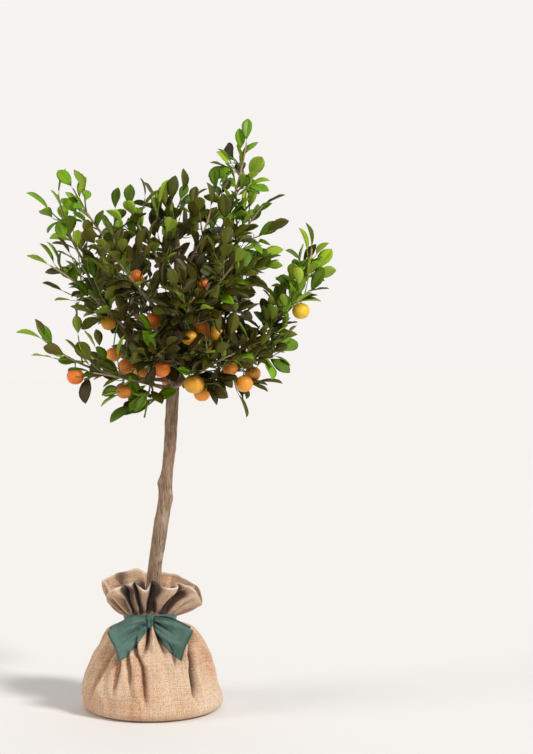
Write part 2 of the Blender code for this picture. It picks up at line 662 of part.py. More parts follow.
def grow_mass(limb, number, shapes, finish, cutter):
    """One mass of foliage: a stem, the twigs that branch from it, and their leaves and fruit, fused."""
    rng = random.Random(500 + number)
    name = "foliage_" + limb.name
    curve = limb_curve(limb)
    span = (Vector(limb.tip) - trunk_centre(limb.foot)).length
    stem = stem_shape(limb)
    made = place(name, mesh_of(name, *stem), finish)
    if not limb.bare and limb is not LEADER:
        cut_clear_of_trunk(made, cutter)
    pieces = []
    joints = []
    for root, bend, end in twig_curves(limb, number):
        twig_at = bend_curve(root, bend, end)
        shape = tube(twig_at, (0.0, 0.5, 1.0), (TWIG_RADIUS, TWIG_RADIUS, TWIG_TIP), 3)
        if shapes.touches(*shape, besides=(name + " stem",)):
            continue
        joints.append((twig_at, (end - root).length, 0.35, len(joints)))
        pieces.append(shape)
        shapes.add(*shape, f"{name} twig {len(joints) - 1}")
    stem_at = lambda share: curve(limb.bare + (1 - limb.bare) * share)
    stem_length = span * (1 - limb.bare)
    axes = [(stem_at, stem_length, 0.12 if limb.bare else 0.25, f"{name} stem")]
    axes += [(at, length, first, f"{name} twig {k}") for at, length, first, k in joints]
    for share, drop in limb.fruits:
        top = curve(share)
        centre = top - Vector((0, 0, drop + FRUIT_RADIUS))
        ball = ball_shape(centre, FRUIT_RADIUS * rng.uniform(0.92, 1.08))
        hung_at = bend_curve(top, (top + centre) / 2, centre)
        stalk = tube(hung_at, (-0.02, 0.6), (PEDICEL, PEDICEL), 3)
        if shapes.touches(*ball) or shapes.touches(*stalk, besides=(f"{name} stem",)):
            continue
        pieces += [ball, stalk]
        shapes.add(*ball, f"{name} fruit")
        shapes.add(*stalk, f"{name} fruit")
    for path_at, length, first, owner in axes:
        for here, along, side, spin, lean, size in leaf_places(path_at, length, first * length, rng):
            for attempt in range(TRIES):
                turn = spin + attempt * TRY_TURN
                out = side * math.cos(turn) + along.cross(side) * math.sin(turn)
                heading = along * math.cos(lean) + out * math.sin(lean)
                up = (along + Vector((0, 0, 0.6))).normalized()
                if shapes.touches(*leaf_shape(here, heading, up, size, LEAF_GAP), besides=(owner,)):
                    continue
                shape = leaf_shape(here, heading, up, size)
                pieces.append(shape)
                shapes.add(*shape, f"{name} leaf")
                break
    fuse(made, pieces)


def fuse(made, pieces):
    """Joins the pieces to the object by one union on a collection, and clears the collection away."""
    group = bpy.data.collections.new("to fuse")
    bpy.context.scene.collection.children.link(group)
    for points, faces in pieces:
        group.objects.link(bpy.data.objects.new("piece", mesh_of("piece", points, faces)))
    union = made.modifiers.new("union", "BOOLEAN")
    union.operation = "UNION"
    union.solver = "EXACT"
    union.operand_type = "COLLECTION"
    union.collection = group
    apply_modifiers(made)
    for piece in list(group.objects):
        mesh = piece.data
        bpy.data.objects.remove(piece)
        bpy.data.meshes.remove(mesh)
    bpy.data.collections.remove(group)
    keep_largest_shell(made)


def stem_shape(limb):
    """The part of a limb that carries foliage, which starts a hair beyond the bough's tip."""
    curve = limb_curve(limb)
    speed = (curve(limb.bare + 0.01) - curve(limb.bare - 0.01)).length / 0.02
    start = limb.bare + (GAP / speed if limb.bare else 0.0)
    shares = [start + (1 - start) * k / STEM_SPANS for k in range(STEM_SPANS + 1)]
    points, faces = tube(curve, shares, [limb_radius(limb, share) for share in shares], STEM_SIDES)
    if limb is LEADER:
        for point in points[:STEM_SIDES]:
            point.z = limb.foot
    return points, faces


def make_bough(limb, finish, cutter):
    """The bare part of a limb, from the trunk's side to where its foliage starts."""
    shares = [limb.bare * k / BOUGH_SPANS for k in range(BOUGH_SPANS + 1)]
    shape = tube(limb_curve(limb), shares, [limb_radius(limb, share) for share in shares], BOUGH_SIDES)
    name = "bough_" + limb.name
    made = place(name, mesh_of(name, *shape), finish, smooth_under=50)
    cut_clear_of_trunk(made, cutter)
    keep_largest_shell(made)
    return shape


def main():
    for old in list(bpy.data.objects):
        bpy.data.objects.remove(old)
    bark = material("bark", (0.31, 0.25, 0.19), 0.85)
    leaf = material("leaf", (0.09, 0.17, 0.03), 0.45)
    hessian = material("hessian", (0.62, 0.43, 0.28), 0.95)
    ribbon = material("ribbon", (0.07, 0.20, 0.16), 0.70)
    earth = material("earth", (0.06, 0.04, 0.03), 0.95)

    make_sack_body(hessian)
    make_collar(hessian)
    make_soil(earth)
    make_band(ribbon)
    make_knot(ribbon)
    make_bow_loop("bow_loop_left", -1, ribbon)
    make_bow_loop("bow_loop_right", 1, ribbon)

    place("trunk", mesh_of("trunk", *trunk_rings(0.0)), bark, smooth_under=60)
    cutter = place("trunk_clearance", mesh_of("trunk_clearance", *trunk_rings(GAP)), bark)
    cutter.hide_render = True
    cutter.display_type = "WIRE"

    shapes = Shapes()
    shapes.add(*trunk_rings(LEAF_GAP), "trunk")
    for limb in LIMBS:
        if limb.bare:
            shapes.add(*make_bough(limb, bark, cutter), "bough_" + limb.name)
    for limb in (*LIMBS, LEADER):
        shapes.add(*stem_shape(limb), f"foliage_{limb.name} stem")
    for number, limb in enumerate((*LIMBS, LEADER)):
        grow_mass(limb, number, shapes, leaf, cutter)


main()
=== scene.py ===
import math
import random

import bmesh
import bpy
import numpy as np
from mathutils import Matrix, Vector, noise


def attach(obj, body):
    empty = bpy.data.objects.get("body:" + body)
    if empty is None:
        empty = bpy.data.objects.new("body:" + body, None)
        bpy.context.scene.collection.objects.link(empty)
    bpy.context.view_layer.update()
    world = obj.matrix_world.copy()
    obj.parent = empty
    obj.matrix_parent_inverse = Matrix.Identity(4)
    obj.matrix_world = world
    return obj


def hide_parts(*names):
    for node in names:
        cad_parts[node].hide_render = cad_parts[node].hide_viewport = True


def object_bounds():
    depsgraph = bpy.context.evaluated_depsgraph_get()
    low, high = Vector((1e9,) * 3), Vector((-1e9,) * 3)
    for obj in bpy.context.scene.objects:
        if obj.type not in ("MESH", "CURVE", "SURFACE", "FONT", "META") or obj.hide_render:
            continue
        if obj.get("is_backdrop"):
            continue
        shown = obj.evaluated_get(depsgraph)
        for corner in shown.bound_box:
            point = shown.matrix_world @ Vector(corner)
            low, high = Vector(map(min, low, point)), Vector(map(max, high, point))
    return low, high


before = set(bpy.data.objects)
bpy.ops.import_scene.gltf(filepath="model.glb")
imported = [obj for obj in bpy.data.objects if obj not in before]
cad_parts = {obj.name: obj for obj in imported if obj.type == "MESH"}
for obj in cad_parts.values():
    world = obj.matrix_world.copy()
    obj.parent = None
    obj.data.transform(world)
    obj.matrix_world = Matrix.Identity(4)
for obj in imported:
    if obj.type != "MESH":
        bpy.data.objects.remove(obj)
cadLow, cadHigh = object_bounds()
print("frame loaded:", len(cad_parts), "nodes")

golden = math.radians(137.5)  # from one twig or leaf round to the next
cameraPlace = (0.0, -2.7, 0.65)


# Small helpers


def sRgb(code):
    # A colour code such as "8a6b4f" as the linear colour that a shader takes
    parts = [int(code[k:k + 2], 16) / 255 for k in (0, 2, 4)]
    return tuple(p / 12.92 if p <= 0.04045 else ((p + 0.055) / 1.055) ** 2.4 for p in parts) + (1.0,)


def smoothStep(low, high, value):
    share = np.clip((np.asarray(value, float) - low) / (high - low), 0.0, 1.0)
    return share * share * (3 - 2 * share)


def spline(rows, at):
    # Values of a smooth curve through rows, whose first column is where each row stands
    rows = np.array(rows, float)
    here = int(np.clip(np.searchsorted(rows[:, 0], at) - 1, 0, len(rows) - 2))
    before, start, end, after = (rows[min(max(here + k, 0), len(rows) - 1)] for k in (-1, 0, 1, 2))
    span = end[0] - start[0]
    share = (at - start[0]) / span
    riseStart = (end - before)[1:] / (end[0] - before[0]) * span
    riseEnd = (after - start)[1:] / (after[0] - start[0]) * span
    return (
        (2 * share**3 - 3 * share**2 + 1) * start[1:] + (share**3 - 2 * share**2 + share) * riseStart
        + (3 * share**2 - 2 * share**3) * end[1:] + (share**3 - share**2) * riseEnd
    )


def roundFrom(degrees, rise):
    turn, up = math.radians(degrees), math.radians(rise)
    return Vector((math.cos(turn) * math.cos(up), math.sin(turn) * math.cos(up), math.sin(up)))


def bendCurve(start, bend, end):
    return lambda share: start * (1 - share) ** 2 + bend * 2 * share * (1 - share) + end * share**2


def lumps(x, y, z):
    return noise.noise(Vector((x, y, z)))


def roundTurns(count):
    return [2 * math.pi * k / count for k in range(count)]


def turnedApart(a, b):
    # Degrees from b to a by the short way round
    return (a - b + 180) % 360 - 180


def ringPoints(radius, angle, height):
    return np.stack([radius * np.cos(angle), radius * np.sin(angle), height], axis=-1)


def linked(name, mesh, finish=None):
    # Puts a mesh in the scene, smooth if it has a finish
    made = bpy.data.objects.new(name, mesh)
    bpy.context.scene.collection.objects.link(made)
    if finish:
        mesh.shade_smooth()
        mesh.materials.append(finish)
    return made


def setValues(mesh, label, values, kind="FLOAT"):
    # One value for each point of a mesh
    values = np.array(values, int if kind == "INT" else float).ravel()
    key = "vector" if kind == "FLOAT_VECTOR" else "value"
    mesh.attributes.new(label, kind, "POINT").data.foreach_set(key, values)


def meshFrom(name, points, faces, uv=None, floats=None):
    # uv and floats give one value for each point
    mesh = bpy.data.meshes.new(name)
    mesh.from_pydata([tuple(p) for p in points], [], [tuple(f) for f in faces])
    if uv is not None:
        layer = mesh.uv_layers.new(name="clothMap")
        corners = np.empty(len(mesh.loops), int)
        mesh.loops.foreach_get("vertex_index", corners)
        layer.data.foreach_set("uv", np.asarray(uv, float)[corners].ravel())
    for label, values in (floats or {}).items():
        setValues(mesh, label, values)
    return mesh


def gridFaces(rows, columns, around):
    # Quads between rows of points; around says that the rows are rings
    last = columns if around else columns - 1
    return [
        (r * columns + c, r * columns + (c + 1) % columns,
         (r + 1) * columns + (c + 1) % columns, (r + 1) * columns + c)
        for r in range(rows - 1) for c in range(last)
    ]


def tubeFaces(rings, sides):
    # The sides of a closed tube and its two ends
    ends = [tuple(reversed(range(sides))), tuple(range((rings - 1) * sides, rings * sides))]
    return gridFaces(rings, sides, True) + ends


def fanFaces(centre, first, count):
    # Triangles from a centre to a ring of points
    return [(centre, first + (c + 1) % count, first + c) for c in range(count)]


def outwards(*meshes):
    # Joins meshes into the first, with every face turned outwards
    shape = bmesh.new()
    for mesh in meshes:
        shape.from_mesh(mesh)
    bmesh.ops.recalc_face_normals(shape, faces=shape.faces)
    shape.to_mesh(meshes[0])
    shape.free()
    return meshes[0]


def clothShell(sheet, thickness, around):
    # The two faces of a thin shell round a grid of points (rows, columns, 3), one after the other
    down = np.gradient(sheet, axis=0)
    if around:
        across = (np.roll(sheet, -1, axis=1) - np.roll(sheet, 1, axis=1)) / 2
    else:
        across = np.gradient(sheet, axis=1)
    normal = np.cross(across, down)
    normal /= np.linalg.norm(normal, axis=2, keepdims=True) + 1e-12
    half = np.asarray(thickness)[..., None] / 2
    return np.concatenate([sheet + normal * half, (sheet - normal * half)[::-1]])


def closedSheet(name, sheet, thickness, around, uv, floats):
    # The shell as a mesh: both faces, and the edges between them
    rows, columns, _ = sheet.shape
    points = clothShell(sheet, thickness, around).reshape(-1, 3)
    faces = gridFaces(2 * rows, columns, around)
    last = (2 * rows - 1) * columns
    reach = columns if around else columns - 1
    faces += [(last + c, last + (c + 1) % columns, (c + 1) % columns, c) for c in range(reach)]
    if not around:
        for edge in (0, columns - 1):
            for r in range(rows - 1):
                a, b = r * columns + edge, (r + 1) * columns + edge
                c, d = (2 * rows - 2 - r) * columns + edge, (2 * rows - 1 - r) * columns + edge
                faces.append((a, b, c, d) if edge == 0 else (d, c, b, a))
    both = lambda values: np.concatenate([values, values[::-1]])
    uvAll = both(uv).reshape(-1, 2)
    extra = {k: both(v).ravel() for k, v in floats.items()}
    return outwards(meshFrom(name, points, faces, uvAll, extra))


# Node trees


class Wire:
    # One socket. Arithmetic on it adds Math nodes to its tree.
    def __init__(self, desk, socket):
        self.desk, self.socket = desk, socket

    def math(self, operation, *values):
        return self.desk.add("ShaderNodeMath", {"operation": operation}, dict(enumerate(values)))

    def __rsub__(self, other):
        return self.math("SUBTRACT", other, self)

    def eased(self, low, high):
        return self.desk.add(
            "ShaderNodeMapRange", {"interpolation_type": "SMOOTHSTEP"},
            {"Value": self, "From Min": low, "From Max": high},
        )


def mathMethod(operation):
    return lambda wire, *others: wire.math(operation, wire, *others)


for method, operation in {
    "__add__": "ADD", "__radd__": "ADD", "__sub__": "SUBTRACT", "__mul__": "MULTIPLY",
    "__rmul__": "MULTIPLY", "__truediv__": "DIVIDE", "__pow__": "POWER", "__abs__": "ABSOLUTE",
    "sine": "SINE", "floor": "FLOOR", "above": "GREATER_THAN",
}.items():
    setattr(Wire, method, mathMethod(operation))


class Desk:
    # Adds nodes to one tree: kind, settings first, then socket values or links
    def __init__(self, tree):
        self.tree = tree
        tree.nodes.clear()

    def add(self, kind, settings=None, sockets=None, out=0):
        made = self.tree.nodes.new(kind)
        for key, value in (settings or {}).items():
            setattr(made, key, value)
        for key, value in (sockets or {}).items():
            if isinstance(value, Wire):
                self.tree.links.new(value.socket, made.inputs[key])
            else:
                made.inputs[key].default_value = value
        return Wire(self, made.outputs[out]) if made.outputs else made

    def part(self, wire, name):
        # Another output of the node that a wire comes from
        return Wire(self, wire.socket.node.outputs[name])


class Finish(Desk):
    # A material's node tree
    def __init__(self, name):
        self.material = bpy.data.materials.new(name)
        self.material.use_nodes = True
        super().__init__(self.material.node_tree)

    def blend(self, factor, first, second):
        mixing = {"data_type": "RGBA", "blend_type": "MIX", "clamp_factor": True}
        return self.add("ShaderNodeMix", mixing, {0: factor, 6: first, 7: second}, out=2)

    def paint(self, first, *coats):
        # Coats of colour over a first one, each as strong as its factor
        colour = sRgb(first)
        for factor, code in coats:
            colour = self.blend(factor, colour, sRgb(code))
        return colour

    def mapped(self, place, stretch):
        return self.add("ShaderNodeMapping", {"vector_type": "POINT"}, {"Vector": place, "Scale": stretch})

    def objectPlace(self, stretch=(1, 1, 1)):
        return self.mapped(self.add("ShaderNodeTexCoord", out=3), stretch)

    def clothPlace(self, stretch=(1, 1, 1)):
        return self.mapped(self.add("ShaderNodeUVMap", {"uv_map": "clothMap"}), stretch)

    def axes(self, place):
        first = self.add("ShaderNodeSeparateXYZ", None, {"Vector": place})
        return first, self.part(first, "Y"), self.part(first, "Z")

    def noise(self, place, scale, detail=3.0, rough=0.5, distortion=0.0):
        return self.add("ShaderNodeTexNoise", {"noise_dimensions": "3D"}, {
            "Vector": place, "Scale": scale, "Detail": detail, "Roughness": rough, "Distortion": distortion,
        })

    def cellNoise(self, first, second, salt):
        # One random number for each whole pair
        pair = self.add("ShaderNodeCombineXYZ", None, {0: first, 1: second, 2: salt})
        return self.add("ShaderNodeTexWhiteNoise", {"noise_dimensions": "3D"}, {"Vector": pair})

    def cells(self, place, scale):
        return self.add("ShaderNodeTexVoronoi", None, {"Vector": place, "Scale": scale})

    def value(self, name):
        reading = {"attribute_type": "GEOMETRY", "attribute_name": name}
        return self.add("ShaderNodeAttribute", reading, out=2)

    def bump(self, height, strength, distance, below=None):
        sockets = {"Height": height, "Strength": strength, "Distance": distance}
        if below is not None:
            sockets["Normal"] = below
        return self.add("ShaderNodeBump", None, sockets)

    def close(self, **sockets):
        # Principled shader: names with underscores for spaces
        named = {key.replace("_", " "): value for key, value in sockets.items()}
        shader = self.add("ShaderNodeBsdfPrincipled", None, named)
        self.add("ShaderNodeOutputMaterial", None, {0: shader})
        return self.material


class Recipe(Desk):
    # A Geometry Nodes tree with named inputs. make() runs it on an object and leaves a plain mesh.
    def __init__(self, name, inputs):
        group = bpy.data.node_groups.new(name, "GeometryNodeTree")
        super().__init__(group)
        self.labels = {}
        face = group.interface
        face.new_socket("Geometry", in_out="INPUT", socket_type="NodeSocketGeometry")
        for label, kind in inputs:
            self.labels[label] = face.new_socket(label, in_out="INPUT", socket_type=kind).identifier
        face.new_socket("Geometry", in_out="OUTPUT", socket_type="NodeSocketGeometry")
        self.start = self.add("NodeGroupInput")

    def given(self, label="Geometry"):
        return self.part(self.start, label)

    def named(self, label, kind):
        return self.add("GeometryNodeInputNamedAttribute", {"data_type": kind}, {"Name": label})

    def close(self, geometry):
        real = self.add("GeometryNodeRealizeInstances", None, {"Geometry": geometry})
        finish = self.given("Material")
        done = self.add("GeometryNodeSetMaterial", None, {"Geometry": real, "Material": finish})
        self.add("NodeGroupOutput", None, {0: done})
        return self

    def make(self, source, values):
        step = source.modifiers.new(self.tree.name, "NODES")
        step.node_group = self.tree
        for label, value in values.items():
            step[self.labels[label]] = value
        bpy.context.view_layer.update()
        graph = bpy.context.evaluated_depsgraph_get()
        mesh = bpy.data.meshes.new_from_object(
            source.evaluated_get(graph), preserve_all_data_layers=True, depsgraph=graph
        )
        source.modifiers.clear()
        old, source.data = source.data, mesh
        bpy.data.meshes.remove(old)
        mesh.name = source.name
        return source


# Finishes


# The crease colour and the strength after it are painted shade, laid on the cloth in the creases of its
# folds
hessianLook = {
    "light": "f1d5b5", "mid": "dbac84", "dark": "a0683f", "gap": "764427", "hem": "f8e8d3",
    "pink": "e09a88", "gold": "e6bb6c", "rust": "b86d3e", "crease": "3c1c0e", "paintedCreaseShade": 0.96,
    "thread": 0.00150,
}


def hessianFinish():
    desk = Finish("hessian_weave")
    look = hessianLook
    place = desk.clothPlace()
    u, v, _ = desk.axes(place)
    drift = desk.noise(place, 60.0, 2.0)
    across = u / look["thread"] + drift * 1.6
    along = v / look["thread"] + drift * 1.4
    # the threads pass over and under each other by turns
    turns = (across.floor() + along.floor()) * 0.5
    onTop = (turns - turns.floor()).above(0.25)
    upRound = abs((across * math.pi).sine()) ** 0.7
    sideRound = abs((along * math.pi).sine()) ** 0.7
    weave = upRound * (0.45 + sideRound * 0.55) * onTop + sideRound * (0.45 + upRound * 0.55) * (1 - onTop)
    # slubs run along each thread
    upSlub = desk.noise(desk.clothPlace((1.0, 0.24, 1.0)), 1000.0, 2.0, 0.6)
    sideSlub = desk.noise(desk.clothPlace((0.24, 1.0, 1.0)), 1000.0, 2.0, 0.6)
    upOwn, sideOwn = desk.cellNoise(across.floor(), 1.0, 3.0), desk.cellNoise(1.0, along.floor(), 5.0)
    own = upOwn * onTop + sideOwn * (1 - onTop)
    tone = (upSlub * onTop + sideSlub * (1 - onTop)) * 0.86 + own * 0.14
    broad = desk.noise(desk.objectPlace(), 15.0, 4.0, 0.6)
    fleck = desk.noise(desk.clothPlace((1.0, 0.5, 1.0)), 850.0, 2.0)
    speck = desk.noise(desk.clothPlace((0.5, 1.0, 1.0)), 780.0, 2.0)
    colour = desk.paint(
        look["mid"], (broad.eased(0.34, 0.66), look["light"]),
        (tone.eased(0.50, 0.30) * 0.90, look["dark"]), (tone.eased(0.50, 0.68) * 0.90, look["hem"]),
        ((1 - weave).eased(0.35, 1.0) * 0.60, look["gap"]), (fleck.eased(0.58, 0.68) * 0.75, look["pink"]),
        (fleck.eased(0.42, 0.32) * 0.75, look["gold"]), (speck.eased(0.60, 0.70) * 0.70, look["rust"]),
        (desk.value("hem") * 0.75, look["hem"]),
        # painted shade: the creases of the folds darken towards the crease colour
        (desk.value("crease").eased(0.02, 0.36) * look["paintedCreaseShade"], look["crease"]),
    )
    height = weave * (0.70 + tone * 0.6)
    fuzz = desk.bump(desk.noise(place, 1500.0, 2.0), 0.25, 0.0004)
    normal = desk.bump(height, 0.80, 0.0007, fuzz)
    return desk.close(
        Base_Color=colour, Roughness=0.93 - weave * 0.08, Normal=normal,
        Specular_IOR_Level=0.15, Sheen_Weight=0.20, Sheen_Roughness=0.6,
    )


barkLook = {"ridge": "ab917a", "mid": "866b54", "groove": "4a3424", "scar": "c6b39f", "young": "b39a70"}


def barkFinish():
    desk = Finish("bark_grain")
    look = barkLook
    place = desk.objectPlace((1.0, 1.0, 0.085))
    grain = desk.noise(place, 900.0, 4.0, 0.6, 0.4)
    plates = desk.noise(desk.objectPlace((1.0, 1.0, 0.16)), 260.0, 4.0, 0.62, 0.8)
    patches = desk.noise(desk.objectPlace(), 38.0, 3.0)
    colour = desk.paint(
        look["mid"], (plates.eased(0.36, 0.66), look["ridge"]),
        (grain.eased(0.50, 0.34) * 0.85, look["groove"]),
        (patches.eased(0.60, 0.75) * 0.45, look["scar"]), (desk.value("scar"), look["scar"]),
        (desk.value("young"), look["young"]),
    )
    return desk.close(
        Base_Color=colour, Roughness=0.88 - grain * 0.14,
        Normal=desk.bump(grain * 0.5 + plates, 0.8, 0.0012), Specular_IOR_Level=0.25,
    )


twigLook = {"green": "6f8a3e", "tan": "a98c68", "brown": "6b5138"}


def twigFinish():
    desk = Finish("twig_rind")
    look = twigLook
    grain = desk.noise(desk.objectPlace(), 700.0, 3.0)
    colour = desk.paint(
        look["brown"], (desk.value("young"), look["green"]), (grain.eased(0.52, 0.70) * 0.6, look["tan"])
    )
    return desk.close(
        Base_Color=colour, Roughness=0.72 - grain * 0.12, Normal=desk.bump(grain, 0.4, 0.0004),
        Specular_IOR_Level=0.35,
    )


def leafFinish(name, upper, lighter, under, gloss):
    desk = Finish(name)
    place = desk.add("ShaderNodeUVMap", {"uv_map": "leafMap"})
    along, across, _ = desk.axes(place)
    below = along.above(1.5)
    aside = abs(across - 0.5) * 2.0
    mottle = desk.noise(desk.objectPlace(), 120.0, 3.0)
    veins = ((along * 46.0 - aside * 5.5).sine() * 0.5 + 0.5) ** 4 * 0.15
    rib = aside.eased(0.10, 0.02) * 0.55
    colour = desk.paint(
        upper, (desk.value("leafTint"), lighter), ((mottle - 0.5) * 1.2 + 0.35, lighter),
        ((veins + rib).eased(0.0, 1.6), under), (below * 0.72, under),
    )
    normal = desk.bump(veins * -1.0 - rib, 0.35, 0.0006)
    return desk.close(
        Base_Color=colour, Roughness=gloss + below * 0.24 + mottle * 0.10, Normal=normal,
        Specular_IOR_Level=0.26,
    )


def peelFinish(name, body, crown, blush):
    desk = Finish(name)
    place = desk.objectPlace()
    pores = desk.cells(place, 720.0)
    mottle = desk.noise(place, 75.0, 3.0)
    colour = desk.paint(
        body, (mottle.eased(0.36, 0.66) * 0.7, blush),
        # the top darkens towards the stalk: partly the peel's own tint there, partly painted shade on the
        # fruit's top
        (desk.value("crownward").eased(0.52, 1.0) * 0.85, crown), (pores.eased(0.30, 0.05) * 0.18, crown),
    )
    normal = desk.bump(pores.eased(0.0, 0.55), 0.35, 0.0005)
    return desk.close(
        Base_Color=colour, Roughness=0.34 + mottle * 0.12, Normal=normal, Specular_IOR_Level=0.5,
    )


ribbonLook = {"light": "5c7c71", "mid": "446659", "dark": "1a362d", "thread": 0.0009}


def ribbonFinish():
    desk = Finish("ribbon_cotton")
    look = ribbonLook
    u, v, _ = desk.axes(desk.clothPlace())
    weave = (abs((u / look["thread"] * math.pi).sine()) * abs((v / look["thread"] * math.pi).sine())) ** 0.5
    broad = desk.noise(desk.objectPlace(), 45.0, 3.0)
    streak = desk.noise(desk.clothPlace((0.15, 1.0, 1.0)), 700.0, 2.0)
    colour = desk.paint(
        look["mid"], (broad.eased(0.35, 0.65), look["light"]),
        ((1 - weave) * 0.35 + streak.eased(0.5, 0.3) * 0.25, look["dark"]),
        (desk.value("hem") * 0.65, look["dark"]),
    )
    normal = desk.bump(weave, 0.5, 0.0005)
    return desk.close(
        Base_Color=colour, Roughness=0.62 - weave * 0.10, Normal=normal,
        Specular_IOR_Level=0.40, Sheen_Weight=0.25, Sheen_Roughness=0.40,
    )


def soilFinish():
    desk = Finish("soil_crumbs")
    place = desk.objectPlace()
    crumbs = desk.cells(place, 330.0)
    fine = desk.noise(place, 600.0, 4.0)
    colour = desk.paint(
        "2b1f17", (fine.eased(0.35, 0.65), "5b4433"), (crumbs.eased(0.42, 0.60) * 0.5, "120c09")
    )
    return desk.close(
        Base_Color=colour, Roughness=0.97 - fine * 0.1, Normal=desk.bump(crumbs * 0.6 + fine, 0.9, 0.002),
        Specular_IOR_Level=0.15,
    )


def stalkFinish():
    desk = Finish("green_stalk")
    grain = desk.noise(desk.objectPlace(), 500.0, 3.0)
    colour = desk.paint("3f7d3a", (grain.eased(0.40, 0.60), "6fa552"))
    return desk.close(Base_Color=colour, Roughness=0.50 + grain * 0.1, Specular_IOR_Level=0.4)


def paperFinish():
    desk = Finish("pale_paper")
    grain = desk.noise(desk.objectPlace(), 6.0, 3.0)
    colour = desk.blend(grain, (0.800, 0.782, 0.762, 1.0), (0.810, 0.792, 0.772, 1.0))
    return desk.close(Base_Color=colour, Roughness=0.9 + grain * 0.05, Specular_IOR_Level=0.1)


hessian, bark, twigRind = hessianFinish(), barkFinish(), twigFinish()
ribbonCotton, soilCrumbs, greenStalk, palePaper = ribbonFinish(), soilFinish(), stalkFinish(), paperFinish()
# Leaves from the dark middle of the crown to the light young tips, partly by age and partly as painted shade
# inside and painted light outside: upper side, lighter tone, underside, gloss
leafGroups = (
    ("leavesDeep", leafFinish("leaf_deep_olive", "221b00", "423a00", "66621c", 0.40)),
    ("leavesOlive", leafFinish("leaf_olive", "303200", "525600", "767c24", 0.40)),
    ("leavesMid", leafFinish("leaf_mid_green", "3a5200", "5e8000", "88a030", 0.36)),
    ("leavesFresh", leafFinish("leaf_fresh_green", "4c7600", "7aa604", "a0b83c", 0.36)),
    ("leavesTip", leafFinish("leaf_young_tip", "6a9400", "a0bc14", "b4c844", 0.38)),
)
peels = {
    "orange": peelFinish("peel_orange", "ea7410", "b85802", "fa9026"),
    "gold": peelFinish("peel_gold", "e69c20", "8e6806", "f6b63c"),
    "olive": peelFinish("peel_olive", "c27212", "785004", "e09034"),
    "pale": peelFinish("peel_pale", "fa9428", "c4801a", "ffb450"),
    "yellow": peelFinish("peel_yellow", "f2bc1c", "cca214", "fcd848"),
}
print("finishes made")


# Sack


sack = {
    "profile": (  # height, radius at the left, radius at the right
        (0.0, 0.0930, 0.0930), (0.003, 0.1015, 0.1010), (0.009, 0.1062, 0.1052), (0.020, 0.1071, 0.1040),
        (0.033, 0.1070, 0.0988), (0.045, 0.1040, 0.0940), (0.058, 0.0985, 0.0894), (0.070, 0.0938, 0.0862),
        (0.082, 0.0900, 0.0840), (0.094, 0.0828, 0.0795), (0.106, 0.0742, 0.0732), (0.1175, 0.0644, 0.0645),
        (0.1255, 0.0550, 0.0565), (0.1305, 0.0445, 0.0450), (0.1335, 0.0385, 0.0385),
        (0.137, 0.0376, 0.0376),
    ),
    "neckRadius": 0.0376, "seamHeight": 0.137, "neckOffset": -0.004, "neckTilt": 0.18,
    "knotDent": 0.0150, "pleats": 25, "gather": 0.0075, "roll": 0.0018, "swells": (0.0034, 0.0012),
    "around": 420, "rows": 120, "underside": 10, "footRows": (0.0, 0.0012, 0.0028, 0.0048, 0.0072),
    "clothRadius": 0.100, "underCloth": 0.09,  # the weave's map: its radius, its length under the sack
}
# A fold's section: its steep left, its gentle right, the lips beside it, and how dark the painted shade in
# its crease gets at full depth
foldLook = {
    "left": 0.62, "right": 1.55, "lip": 0.30, "lipPlace": 2.1, "lipWidth": 1.2,
    "dark": 0.7, "fullDepth": 0.021,
}

# Each fold: (degrees round, height) from its top to its foot, depth (below 0 for a ridge) and half width
folds = (
    (((-95.5, 0.130), (-97.2, 0.109), (-101.5, 0.094)), 0.0165, 0.0040),
    (((-80.4, 0.130), (-80.8, 0.109), (-78.0, 0.096)), 0.0155, 0.0040),
    (((-87.5, 0.127), (-89.0, 0.109), (-90.3, 0.097)), -0.0042, 0.0030),
    (((-89.4, 0.106), (-90.3, 0.097), (-90.8, 0.080)), -0.0014, 0.0012),
    (((-130.0, 0.106), (-125.3, 0.082), (-125.6, 0.040)), 0.0105, 0.0038),
    (((-121.0, 0.108), (-116.5, 0.088), (-113.7, 0.075), (-110.5, 0.050)), 0.0098, 0.0034),
    (((-113.0, 0.114), (-109.0, 0.096), (-101.0, 0.079), (-97.5, 0.030)), 0.0125, 0.0040),
    (((-40.0, 0.124), (-43.9, 0.1054), (-48.8, 0.0948), (-50.3, 0.0743), (-52.5, 0.034)), 0.0230, 0.0050),
    (((-71.0, 0.120), (-68.0, 0.100), (-64.0, 0.076)), 0.0046, 0.0050),
    (((-150.0, 0.128), (-147.0, 0.108), (-158.0, 0.068), (-165.0, 0.018)), -0.0058, 0.0060),
    (((-138.0, 0.126), (-136.0, 0.104), (-145.0, 0.066), (-151.0, 0.028)), 0.0095, 0.0052),
    (((-35.0, 0.122), (-27.0, 0.100), (-18.0, 0.080), (-15.0, 0.050)), -0.0052, 0.0055),
    (((-24.0, 0.124), (-13.0, 0.098), (-5.0, 0.072), (-1.0, 0.036)), 0.0072, 0.0055),
    (((-172.0, 0.124), (-174.0, 0.100), (-182.0, 0.066), (-186.0, 0.032)), 0.0070, 0.0052),
    (((-80.0, 0.084), (-76.0, 0.052), (-72.0, 0.012)), 0.0030, 0.0080),
    (((-64.0, 0.070), (-62.0, 0.045), (-60.0, 0.012)), -0.0020, 0.0080),
    (((-100.0, 0.066), (-97.0, 0.040), (-95.0, 0.008)), 0.0026, 0.0075),
    (((-136.0, 0.060), (-132.0, 0.036), (-128.0, 0.010)), 0.0026, 0.0080),
    (((-32.0, 0.058), (-30.0, 0.034), (-27.0, 0.010)), 0.0028, 0.0085),
)


